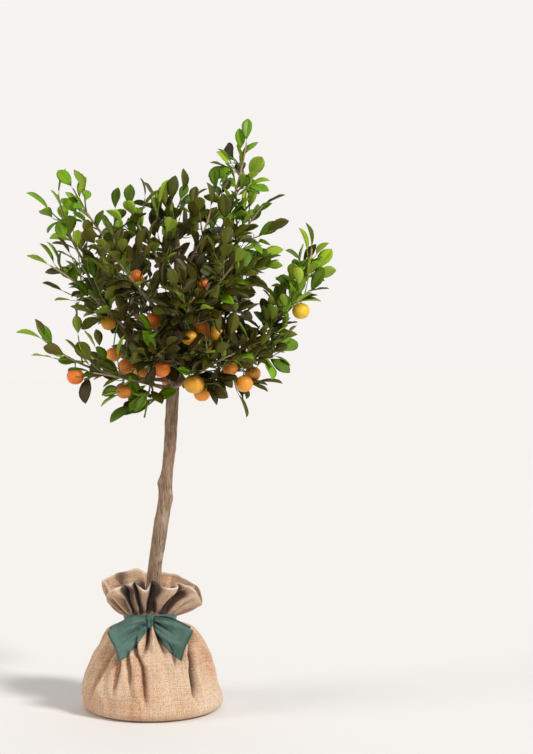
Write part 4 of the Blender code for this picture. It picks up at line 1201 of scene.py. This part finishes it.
def makeLimbShape(limb):
    curve, sides, rings = limbCurve(limb), limbLook["sides"], limbLook["rings"]
    points, young = [], []
    side = headingAt(curve, 0.0).orthogonal()
    for k in range(rings):
        share = k / (rings - 1)
        centre, along = curve(share), headingAt(curve, share)
        side = (side - along * side.dot(along)).normalized()
        across = along.cross(side)
        radius = limbRadius(limb, share) + limbLook["swollenFoot"] * math.exp(-share * 0.2 / 0.012)
        for turn in roundTurns(sides):
            bump = lumps(math.cos(turn) * 2, math.sin(turn) * 2, share * 40 + limb[1] * 50)
            out = radius * (1 + limbLook["bumps"] * bump)
            points.append(centre + (side * math.cos(turn) + across * math.sin(turn)) * out)
            young.append(float(smoothStep(0.40, 0.95, share)) * 0.85)
    return points, tubeFaces(rings, sides), [0.0] * len(points), young


def makeBark():
    points, faces, scars, young = [], [], [], []
    for somePoints, someFaces, someScars, someYoung in (makeTrunkShape(), *map(makeLimbShape, limbs)):
        start = len(points)
        points += somePoints
        faces += [tuple(start + v for v in face) for face in someFaces]
        scars += someScars
        young += someYoung
    mesh = outwards(meshFrom("barkLimbs", points, faces, floats={"scar": scars, "young": young}))
    made = linked("barkLimbs", mesh, bark)
    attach(made, "root")
    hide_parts("trunk", *(f"bough_{limb[0]}" for limb in limbs if limb[5]))


makeBark()
print("trunk and limbs made")


# Twigs


growth = {
    "twigRadius": 0.0013, "twigTip": 0.0008, "finer": 2, "finerShare": 0.46, "extraReach": 0.62,
    "leafStep": 0.0112, "seed": 40, "sides": 6,
    # limbs that show open in the photo: extra twigs, and finer twigs on each
    "open": {
        "low_left": (0, 0), "low_front_left": (1, 1), "low_back_left": (2, 1), "top_near_left": (1, 0),
        "top_right": (1, 0), "mid_left": (4, 1), "left": (2, 1), "top_left": (2, 1), "upper_right": (3, 1),
        "front_left": (4, 1), "low_front": (4, 2), "leader": (2, 1), "back": (3, 1),
    },
}


def leanFrom(along, spin, lean):
    # A heading that leans away from another, to the side that spin says
    side = along.orthogonal().normalized()
    out = side * math.cos(spin) + along.cross(side) * math.sin(spin)
    return along * math.cos(lean) + out * math.sin(lean)


def sideTwig(root, along, spin, lean, length):
    heading = leanFrom(along, spin, lean)
    return root, root + heading * length * 0.55, root + heading * length + Vector((0, 0, 0.28 * length))


def twigCurves(limb, number):
    # The side twigs of a limb by the frame's own rule
    rng = random.Random(100 + number)
    curve, bare, count, reach = limbCurve(limb), limb[5], limb[7], limb[8]
    found = []
    for k in range(count):
        share = bare + (1 - bare) * (0.10 + 0.78 * (k + 0.5) / count)
        spin = golden * k + number + rng.uniform(-0.5, 0.5)
        lean = math.radians(rng.uniform(42, 62))
        length = reach * (1.2 - 0.65 * (k + 0.5) / count) * rng.uniform(0.85, 1.15)
        found.append(sideTwig(curve(share), headingWithin(curve, share, 0.02), spin, lean, length))
    return found


def extraTwigs(limb, number, count, rng):
    # More twigs than the frame's, so that the crown fills as in the photo
    curve, bare = limbCurve(limb), limb[5] * 0.7
    found = []
    for k in range(count):
        share = bare + (1 - bare) * (0.04 + 0.86 * (k + 0.9) / (limb[7] + 0.6))
        spin = golden * k + number + 2.0 + rng.uniform(-0.5, 0.5)
        length = limb[8] * growth["extraReach"] * rng.uniform(0.75, 1.15) * (1.15 - 0.45 * share)
        lean = math.radians(rng.uniform(40, 65))
        found.append(sideTwig(curve(share), headingWithin(curve, share, 0.02), spin, lean, length))
    return found


def growTwigs():
    # Every shoot with leaves: its limb, path, length, where the leaves start, thickness at root and tip, and
    # its order: 0 for the limb itself, 1 for a twig, 2 for a finer one
    shoots = []
    twigThick, tipThick = growth["twigRadius"], growth["twigTip"]
    for number, limb in enumerate(limbs):
        rng = random.Random(growth["seed"] + number)
        curve, bare = limbCurve(limb), limb[5]
        span = (Vector(limb[3]) - trunkCentre(limb[1])).length
        first = 0.10 if bare else 0.25
        leafy = lambda s, c=curve, b=bare: c(b + (1 - b) * s)
        shoots.append((number, leafy, span * (1 - bare), first, None, 0))
        extraCount, finer = growth["open"].get(limb[0], (limb[7], growth["finer"]))
        for twig in twigCurves(limb, number) + extraTwigs(limb, number, extraCount, rng):
            at, length = bendCurve(*twig), (twig[2] - twig[0]).length
            shoots.append((number, at, length, 0.30, (twigThick, tipThick), 1))
            for k in range(finer):
                share = (0.34, 0.62)[k % 2] + rng.uniform(-0.06, 0.06)
                spin = golden * k + rng.uniform(0, 6.28)
                lean = math.radians(rng.uniform(38, 58))
                reach = length * growth["finerShare"] * rng.uniform(0.8, 1.2)
                fine = sideTwig(at(share), headingAt(at, share), spin, lean, reach)
                thickness = (tipThick * 1.15, tipThick * 0.7)
                shoots.append((number, bendCurve(*fine), (fine[2] - fine[0]).length, 0.40, thickness, 2))
    return shoots


def twigRecipe():
    # Round twigs along loose edges, as thick as each point says
    desk = Recipe("twig_tubes", (("Sides", "NodeSocketInt"), ("Material", "NodeSocketMaterial")))
    line = desk.add("GeometryNodeMeshToCurve", None, {0: desk.given()})
    ring = desk.add("GeometryNodeCurvePrimitiveCircle", {"mode": "RADIUS"}, {
        "Resolution": desk.given("Sides"), "Radius": 1.0,
    })
    tube = desk.add("GeometryNodeCurveToMesh", None, {
        "Curve": line, "Profile Curve": ring, "Scale": desk.named("thick", "FLOAT"), "Fill Caps": True,
    })
    return desk.close(desk.add("GeometryNodeSetShadeSmooth", None, {0: tube}))


def tubesObject(name, paths):
    # paths: points with thickness and youth at each
    made = lineObject(name, [[p for p, _, _ in path] for path in paths])
    for column, label in ((1, "thick"), (2, "young")):
        setValues(made.data, label, [row[column] for path in paths for row in path])
    return made


def twigPath(at, thickness, order):
    rootThick, tipThick = thickness
    shares = [k / 6 for k in range(7)]
    return [(at(s), rootThick + (tipThick - rootThick) * s, 0.35 * order + 0.35 * s) for s in shares]


shoots = growTwigs()
tubes = twigRecipe()
twigPaths = [twigPath(at, thickness, order) for _, at, _, _, thickness, order in shoots if thickness]
sideTwigs = tubes.make(tubesObject("sideTwigs", twigPaths), {"Sides": growth["sides"], "Material": twigRind})
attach(sideTwigs, "root")
print("twigs made:", len(twigPaths))


# Fruit


# limb, share of it that the fruit hangs from, centre, radius, peel. The first 18 show in the photo.
fruits = (
    ("low_left", 0.73, (-0.1126, -0.0462, 0.5047), 0.0128, "orange"),
    ("low_front_left", 0.67, (-0.0414, -0.0670, 0.4835), 0.0112, "olive"),
    ("mid_left", 0.36, (-0.0385, -0.0200, 0.5185), 0.0120, "orange"),
    ("low_front", 0.63, (0.0139, -0.0740, 0.5165), 0.0128, "orange"),
    ("low_front_right", 0.45, (0.0615, -0.0640, 0.4940), 0.0152, "gold"),
    ("low_right", 0.22, (0.0746, -0.0140, 0.4765), 0.0125, "pale"),
    ("front_left", 0.32, (0.0028, -0.0490, 0.5870), 0.0127, "orange"),
    ("mid_left", 0.55, (-0.0640, -0.0210, 0.5825), 0.0113, "gold"),
    ("top_left", 0.40, (-0.0255, -0.0140, 0.6505), 0.0133, "orange"),
    ("tall_right", 0.225, (0.0760, 0.0060, 0.6400), 0.0133, "orange"),
    ("front_right", 0.40, (0.0718, -0.0470, 0.5770), 0.0125, "orange"),
    ("right", 0.36, (0.0932, -0.0130, 0.5640), 0.0148, "gold"),
    ("far_right", 0.29, (0.1165, -0.0260, 0.5155), 0.0120, "pale"),
    ("low_right", 0.57, (0.1365, -0.0360, 0.4925), 0.0133, "pale"),
    ("low_right", 0.65, (0.1510, -0.0100, 0.5060), 0.0120, "pale"),
    ("far_right", 0.80, (0.2216, -0.0310, 0.6005), 0.0132, "yellow"),
    ("low_back_left", 0.33, (-0.0170, 0.0270, 0.5045), 0.0115, "pale"),
    ("mid_left", 0.45, (-0.0575, 0.0020, 0.5350), 0.0115, "pale"),
    ("low_back", 0.40, (0.0270, 0.0530, 0.4930), 0.0130, "orange"),
    ("low_back", 0.75, (0.0230, 0.0990, 0.5050), 0.0135, "gold"),
    ("low_back_left", 0.62, (-0.0440, 0.0520, 0.4780), 0.0125, "orange"),
    ("back_left", 0.45, (-0.0180, 0.0580, 0.5580), 0.0130, "orange"),
    ("back_left", 0.72, (-0.0490, 0.0900, 0.5940), 0.0120, "pale"),
    ("back_right", 0.50, (0.0830, 0.0600, 0.5420), 0.0130, "orange"),
    ("back_right", 0.78, (0.1080, 0.0890, 0.5660), 0.0125, "yellow"),
    ("back", 0.55, (0.0370, 0.0680, 0.6480), 0.0122, "orange"),
    ("front", 0.62, (0.0540, -0.0960, 0.5630), 0.0118, "gold"),
)
fruitLook = {
    "shown": 18, "flat": 0.93, "around": 28, "rows": 18, "stalk": 0.0010,
    "bumps": 0.018, "ribs": 0.010, "dimple": 0.10, "navel": 0.035,
    "calyx": (0.27, 0.12), "calyxSides": 10,  # reach of the star's points and of its notches
}


def fruitMesh(seed):
    # A calamondin of radius 1: slightly flat, with a dimple at the stalk and a small navel
    count, rows = fruitLook["around"], fruitLook["rows"]
    points, up = [], []
    for r in range(rows):
        rise = math.radians(-90 + 180 * (r + 0.5) / rows)
        for turn in roundTurns(count):
            x, y, z = math.cos(turn) * math.cos(rise), math.sin(turn) * math.cos(rise), math.sin(rise)
            size = 1 + fruitLook["bumps"] * lumps(x * 1.6, y * 1.6, z * 1.6 + seed)
            size += fruitLook["ribs"] * math.cos(8 * turn) * max(0.0, z) ** 2
            size -= fruitLook["dimple"] * math.exp(-((1 - z) / 0.035))
            size -= fruitLook["navel"] * math.exp(-((1 + z) / 0.012))
            points.append((x * size, y * size, z * size * fruitLook["flat"]))
            up.append(0.5 + 0.5 * z)
    faces = gridFaces(rows, count, True)
    for first, z, crownward in ((0, -0.965, 0.0), ((rows - 1) * count, 0.90, 1.0)):
        faces += fanFaces(len(points), first, count)
        points.append((0, 0, z * fruitLook["flat"]))
        up.append(crownward)
    return outwards(meshFrom(f"fruitShape{seed}", points, faces, floats={"crownward": up}))


def calyxMesh():
    # The small green star where the stalk meets the fruit, for a fruit of radius 1
    sides = fruitLook["calyxSides"]
    points = []
    for k, turn in enumerate(roundTurns(sides)):
        reach, z = fruitLook["calyx"][k % 2], (0.885, 0.905)[k % 2]
        points.append((reach * math.cos(turn), reach * math.sin(turn), z))
    points += [(0, 0, 0.93), (0, 0, 0.865)]
    return outwards(meshFrom("calyx", points, fanFaces(sides, 0, sides) + fanFaces(sides + 1, 0, sides)))


def scatterRecipe(name):
    # Instances of the picked shape on points that carry their own turn, size and pick
    desk = Recipe(name, (
        ("Shapes", "NodeSocketCollection"), ("Scale", "NodeSocketFloat"),
        ("Material", "NodeSocketMaterial"),
    ))
    shapes = desk.add("GeometryNodeCollectionInfo", {"transform_space": "ORIGINAL"}, {
        "Collection": desk.given("Shapes"), "Separate Children": True, "Reset Children": True,
    })
    turn = desk.add("FunctionNodeEulerToRotation", None, {0: desk.named("turn", "FLOAT_VECTOR")})
    laid = desk.add("GeometryNodeInstanceOnPoints", None, {
        "Points": desk.given(), "Instance": shapes, "Pick Instance": True,
        "Instance Index": desk.named("pick", "INT"), "Rotation": turn,
        "Scale": desk.named("size", "FLOAT") * desk.given("Scale"),
    })
    return desk.close(laid)


def scatterObject(name, rows):
    # rows: place, turn as Euler angles, size, pick, tint
    mesh = bpy.data.meshes.new(name)
    mesh.from_pydata([tuple(r[0]) for r in rows], [], [])
    kinds = (("turn", "FLOAT_VECTOR"), ("size", "FLOAT"), ("pick", "INT"), ("leafTint", "FLOAT"))
    for column, (label, kind) in enumerate(kinds, 1):
        setValues(mesh, label, [r[column] for r in rows], kind)
    return linked(name, mesh)


def shapeShelf(name, meshes):
    shelf = bpy.data.collections.new(name)
    for k, mesh in enumerate(meshes):
        shelf.objects.link(hiddenSource(f"{name}{k}", mesh))
    return shelf


scatter = scatterRecipe("scatter_shapes")
fruitShelf = shapeShelf("fruitShapes", [fruitMesh(seed) for seed in range(3)])
calyxShelf = shapeShelf("calyxShapes", [calyxMesh()])
limbByName = {limb[0]: limb for limb in limbs}


def stalkPath(root, top):
    # From the limb up and over to the top of the fruit
    reach = (root - top).length
    middle = root.lerp(top, 0.64142)
    middle.z = max(middle.z + 0.30 * reach, top.z + 0.35 * reach)
    swing = bendCurve(root, middle, top)
    return [(swing(k / 9), fruitLook["stalk"] * (1.15 - 0.2 * k / 9), 1.0) for k in range(10)]


def hangFruit():
    rng = random.Random(9)
    byPeel, calyxRows, stalks = {}, [], []
    for k, (name, share, centre, radius, peel) in enumerate(fruits):
        top = Vector(centre) + Vector((0, 0, radius * 0.86))
        stalks.append(stalkPath(limbCurve(limbByName[name])(share), top))
        turn = (rng.uniform(-0.10, 0.10), rng.uniform(-0.10, 0.10), rng.uniform(0, 6.28))
        byPeel.setdefault(peel, []).append((centre, turn, radius, k % 3, rng.random()))
        calyxRows.append((centre, turn, radius, 0, 0.5))
    for peel, rows in byPeel.items():
        looks = {"Shapes": fruitShelf, "Scale": 1.0, "Material": peels[peel]}
        made = scatter.make(scatterObject(f"fruit{peel.capitalize()}", rows), looks)
        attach(made, "root")
    looks = {"Shapes": calyxShelf, "Scale": 1.0, "Material": greenStalk}
    calyces = scatter.make(scatterObject("fruitCalyces", calyxRows), looks)
    looks = {"Sides": growth["sides"], "Material": greenStalk}
    made = tubes.make(tubesObject("fruitStalks", stalks), looks)
    for piece in (calyces, made):
        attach(piece, "root")


hangFruit()
print("fruit hung:", len(fruits))


# Leaves


leafLook = {
    "length": 0.043, "width": 0.49, "petiole": 0.13, "thick": 0.00042,
    # how far apart the leaves stand on a limb's shoots, where it isn't the usual distance
    "sparse": {
        "low_left": 2.0, "mid_left": 1.9, "left": 2.0, "top_left": 1.6, "top_near_left": 1.15,
        "top_right": 2.0, "tall_right": 1.55, "upper_right": 1.45, "right": 1.1, "far_right": 1.9,
        "low_right": 0.9, "low_twig": 1.3, "low_front": 1.6, "low_front_left": 1.9, "low_front_right": 0.9,
        "front": 1.15, "front_left": 1.4, "front_right": 1.15, "low_back_left": 2.0, "back_left": 1.4,
        "back": 1.9, "leader": 1.25,
    },
    "outline": (  # share of the blade's length, share of its half width
        (0.0, 0.07), (0.13, 0.39), (0.29, 0.74), (0.46, 0.96), (0.63, 0.99), (0.79, 0.80), (0.92, 0.42),
        (1.0, 0.06),
    ),
    "seed": 500, "tries": 6, "tryTurn": 1.05, "roll": 0.45,
    "apart": 0.0017, "ownRoom": 0.0012, "twigRoom": 0.0009, "roomCell": 0.016,
}


def leafMesh(fold, droop, wave, belly, tilt):
    # A leaf of length 1 along X: upper side, underside and petiole. leafMap is past 2 on the underside.
    stem, half = leafLook["petiole"], leafLook["width"] / 2 * belly
    thick = leafLook["thick"] / leafLook["length"]
    outline, across = leafLook["outline"], (-1.0, -0.5, 0.0, 0.5, 1.0)
    lastRow, lastColumn = len(outline) - 1, len(across) - 1
    points, uv, upper, lower = [], [], {}, {}
    for r, (t, wide) in enumerate(outline):
        for c, v in enumerate(across):
            width = half * wide
            x = stem + (1 - stem) * t - 0.015 * v * v * (t > 0.95)
            lift = fold * abs(v) * width - droop * t * t
            lift += wave * math.sin(9 * t + (1.3 if v > 0 else 0.0)) * abs(v) ** 2
            upper[r, c] = len(points)
            points.append((x, v * width + tilt * t * t * 0.2, lift))
            uv.append((t * 0.98, (v + 1) / 2))
    for (r, c), above in upper.items():
        lower[r, c] = above
        if 0 < r < lastRow and 0 < c < lastColumn:
            x, y, z = points[above]
            lower[r, c] = len(points)
            points.append((x, y, z - thick * (1.0 if c == 2 else 0.6)))
            uv.append((2 + uv[above][0], uv[above][1]))
    faces, sides = [], []
    for r in range(lastRow):
        for c in range(lastColumn):
            faces.append((upper[r, c], upper[r + 1, c], upper[r + 1, c + 1], upper[r, c + 1]))
            faces.append((lower[r, c], lower[r, c + 1], lower[r + 1, c + 1], lower[r + 1, c]))
            sides += [0, 2]
    start = len(points)
    for x, size in ((0.0, 0.013), (stem + 0.05, 0.010)):
        for turn in roundTurns(3):
            turn += math.pi / 2
            points.append((x, size * math.cos(turn), size * math.sin(turn) - 0.006))
            uv.append((2.1, 0.5))
    for k in range(3):
        faces.append((start + k, start + (k + 1) % 3, start + 3 + (k + 1) % 3, start + 3 + k))
        sides.append(2)
    mesh = bpy.data.meshes.new("leaf")
    mesh.from_pydata(points, [], faces)
    # the two halves meet in a crisp fold
    ribs = {side[r, 2] for side in (upper, lower) for r in range(len(outline))}
    sharp = [e.vertices[0] in ribs and e.vertices[1] in ribs for e in mesh.edges]
    mesh.attributes.new("sharp_edge", "BOOLEAN", "EDGE").data.foreach_set("value", sharp)
    corners = [(uv[v], side) for face, side in zip(faces, sides) for v in face]
    places = [(a % 2 + side if a < 2 else a, b) for (a, b), side in corners]
    mesh.uv_layers.new(name="leafMap").data.foreach_set("uv", np.ravel(places))
    return mesh


leafShelf = shapeShelf("leafShapes", [
    leafMesh(0.30, 0.06, 0.010, 1.00, 0.05), leafMesh(0.45, 0.13, 0.016, 0.92, -0.10),
    leafMesh(0.20, 0.20, 0.012, 1.06, 0.12), leafMesh(0.38, 0.02, 0.020, 0.96, -0.04),
    leafMesh(0.55, 0.16, 0.008, 0.88, 0.08), leafMesh(0.26, 0.10, 0.024, 1.10, -0.12),
])


class Room:
    # Which places are taken, in cells of a few millimetres
    def __init__(self, cell):
        self.cell, self.taken = cell, {}

    def key(self, p):
        return tuple(int(math.floor(c / self.cell)) for c in p)

    def add(self, p, reach, owner):
        self.taken.setdefault(self.key(p), []).append((p, reach, owner))

    def clear(self, p, reach, owner):
        a, b, c = self.key(p)
        for i in (a - 1, a, a + 1):
            for j in (b - 1, b, b + 1):
                for k in (c - 1, c, c + 1):
                    for q, other, whose in self.taken.get((i, j, k), ()):
                        if whose != owner and (p - q).length < reach + other:
                            return False
        return True


def lookedAt(p):
    # Whether a leaf here would hang before a fruit that shows from the front
    eye = Vector(cameraPlace)
    for _, _, centre, radius, _ in fruits[:fruitLook["shown"]]:
        away = Vector(centre) - eye
        reach = away.length
        along = (p - eye).dot(away) / reach
        if along < reach - radius * 0.4:
            aside = ((p - eye) - away * (along / reach)).length
            if aside < radius * along / reach * 0.86:
                return True
    return False


# Places on a leaf that have to be free: share of its length, share of its half width
leafPlaces = ((0.35, 0.0), (0.55, 0.55), (0.55, -0.55), (0.60, 0.0), (0.80, 0.4), (0.80, -0.4), (0.97, 0.0))


def leafSamples(root, heading, side, size):
    length = leafLook["length"] * size
    half = length * leafLook["width"] / 2
    return [root + heading * (length * along) + side * (half * aside) for along, aside in leafPlaces]


def fillRoom():
    # The wood and the fruit, which no leaf may touch
    room = Room(leafLook["roomCell"])
    for height in np.arange(0.44, 0.70, 0.005):
        room.add(trunkCentre(height), float(spline(trunk["axis"], min(height, 0.69))[1]), "trunk")
    for limb in limbs:
        curve = limbCurve(limb)
        for k in range(60):
            room.add(curve(k / 59), limbRadius(limb, k / 59), "limb")
    for _, at, _, _, thickness, _ in shoots:
        if thickness:
            for k in range(1, 6):
                room.add(at(k / 5), leafLook["twigRoom"], "twig")
    steps = ((0, 0, 0), (0, 0, 0.5), (0, 0, -0.5), (0.5, 0, 0), (-0.5, 0, 0), (0, 0.5, 0), (0, -0.5, 0))
    for _, _, centre, radius, _ in fruits:
        for step in steps:
            room.add(Vector(centre) + Vector(step) * radius, radius * 0.55, "fruit")
    return room


def levelAt(place, rng):
    # Which colour a spray has, from 0 in the dark middle to 3 at the light tips: partly leaf age, partly
    # painted shade in the crown's middle and painted light at its outside
    x, y, z = place
    away = math.sqrt(((x - 0.028) / 0.150) ** 2 + (y / 0.30) ** 2 + ((z - 0.590) / 0.170) ** 2)
    # a few parts of the crown are made darker or lighter, partly as painted shade and painted light
    if 0.06 < x < 0.19 and z < 0.62:
        away -= 0.30
    if z > 0.65 and abs(x) < 0.14:
        away -= 0.12
    if z < 0.50 and x < 0:
        away += 0.15
    away += rng.uniform(-0.16, 0.16)
    return 0 if away < 0.62 else 1 if away < 0.82 else 2 if away < 1.08 else 3


def groupFor(level, share, chance):
    # A few leaves of each spray are younger or darker than the rest
    if level >= 2 and chance < (0.30 if share > 0.8 else 0.05):
        return min(level + 1, 4)
    if level >= 2 and chance > 0.90:
        return 0
    if level >= 2 and chance > 0.76:
        return level - 1
    if level <= 1 and chance > 0.91:
        return 3
    return level


def roomyHeading(room, here, along, spin, lean, size, owner):
    # Turns a leaf about its shoot until it has room. None if it never has.
    for attempt in range(leafLook["tries"]):
        heading = leanFrom(along, spin + attempt * leafLook["tryTurn"], lean).normalized()
        # the upper side faces up and a little to the front
        up = along + Vector((0, 0, 0.7)) + Vector((0, -0.15, 0))
        side = up.cross(heading).normalized()
        samples = leafSamples(here, heading, side, size)
        free = all(room.clear(p, leafLook["apart"], owner) for p in samples)
        if free and not any(map(lookedAt, samples)):
            return heading, side, samples
    return None


def growLeaves():
    room = fillRoom()
    rng = random.Random(leafLook["seed"])
    rows = [[] for _ in leafGroups]
    for index, (number, at, length, start, _, order) in enumerate(shoots):
        first = start * length
        step = growth["leafStep"] * leafLook["sparse"].get(limbs[number][0], 1.0)
        count = max(2, round((length - first) / step) + 1)
        level = levelAt(at(0.6), rng)
        for k in range(count):
            share = min(1.0, (first + (length - first) * k / (count - 1)) / length)
            here = at(share)
            if order == 0:
                level = levelAt(here, rng)
            along = headingWithin(at, share, 0.03)
            spin = golden * k + index + rng.uniform(-0.4, 0.4)
            lean = math.radians(rng.uniform(36, 72) - 24 * share)
            size = rng.uniform(0.74, 1.12) * (1.0 - 0.16 * share) * (0.90 if order == 2 else 1.0)
            if k == count - 1:
                # the last leaf carries the shoot on
                lean, size = lean * 0.4, size * 1.12
            pick = rng.randrange(6)
            found = roomyHeading(room, here, along, spin, lean, size, index)
            if not found:
                continue
            heading, side, samples = found
            for p in samples:
                room.add(p, leafLook["ownRoom"], index)
            up = heading.cross(side).normalized()
            roll = Matrix.Rotation(rng.gauss(0.0, leafLook["roll"]), 3, heading)
            turn = Matrix((heading, roll @ side, roll @ up)).transposed().to_euler("XYZ")
            group = groupFor(level, share, rng.random())
            rows[group].append((here, tuple(turn), size, pick, rng.random()))
    return rows


for (name, finish), rows in zip(leafGroups, growLeaves()):
    made = scatter.make(
        scatterObject(name, rows), {"Shapes": leafShelf, "Scale": leafLook["length"], "Material": finish}
    )
    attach(made, "root")
    if name == "leavesMid":
        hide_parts(*(f"foliage_{limb[0]}" for limb in limbs))
    print(name, len(rows), "leaves", len(made.data.polygons), "faces")


# Stage, light and camera


floor = {"half": 9.0, "squares": 40, "below": 0.0004}


def makeFloor():
    shape = bmesh.new()
    squares = floor["squares"]
    bmesh.ops.create_grid(shape, x_segments=squares, y_segments=squares, size=floor["half"])
    mesh = bpy.data.meshes.new("paleFloor")
    shape.to_mesh(mesh)
    shape.free()
    mesh.transform(Matrix.Translation((0, 0, -floor["below"])))
    made = linked("paleFloor", mesh, palePaper)
    made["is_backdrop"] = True


light = {
    "seen": (0.921, 0.896, 0.871, 1.0), "sky": (0.96, 0.97, 1.0, 1.0), "skyStrength": 0.45,
    "suns": (  # name, strength, size in degrees, degrees round, rise, colour
        ("keySun", 2.60, 11, -40, 39, (1.0, 0.985, 0.96)),
        ("sideSun", 1.00, 30, -165, 25, (1.0, 0.93, 0.84)),
        ("backSun", 0.30, 60, 80, 50, (1.0, 1.0, 1.0)),
    ),
}
camera = {"down": 3.1647, "turn": -3.6503, "lens": 85.8, "sensor": 36.0}


def makeLight():
    world = bpy.data.worlds.new("paleRoom")
    bpy.context.scene.world = world
    world.use_nodes = True
    desk = Desk(world.node_tree)
    seen = desk.add("ShaderNodeBackground", None, {"Color": light["seen"], "Strength": 1.0})
    lit = desk.add("ShaderNodeBackground", None, {"Color": light["sky"], "Strength": light["skyStrength"]})
    path = desk.add("ShaderNodeLightPath")
    mixed = desk.add("ShaderNodeMixShader", None, {0: path, 1: lit, 2: seen})
    desk.add("ShaderNodeOutputWorld", None, {0: mixed})
    for name, strength, size, turn, rise, colour in light["suns"]:
        lamp = bpy.data.lights.new(name, "SUN")
        lamp.energy, lamp.angle, lamp.color = strength, math.radians(size), colour
        made = bpy.data.objects.new(name, lamp)
        made.rotation_euler = roundFrom(turn, rise).to_track_quat("Z", "Y").to_euler()
        bpy.context.scene.collection.objects.link(made)


def makeCamera():
    data = bpy.data.cameras.new("photoView")
    data.sensor_fit, data.lens = "VERTICAL", camera["lens"]
    data.sensor_height = data.sensor_width = camera["sensor"]
    made = bpy.data.objects.new("photoView", data)
    made.location = cameraPlace
    made.rotation_euler = (math.radians(90 - camera["down"]), 0.0, math.radians(camera["turn"]))
    bpy.context.scene.collection.objects.link(made)
    bpy.context.scene.camera = made


makeFloor()
makeLight()
makeCamera()
bpy.context.scene.view_settings.view_transform = "Standard"
print("stage, light and camera set")

low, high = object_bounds()
sizes = {"cad": [list(cadLow), list(cadHigh)], "visual": [list(low), list(high)]}
print("cad box ", [round(high - low, 4) for low, high in zip(*sizes["cad"])])
print("look box", [round(high - low, 4) for low, high in zip(*sizes["visual"])])
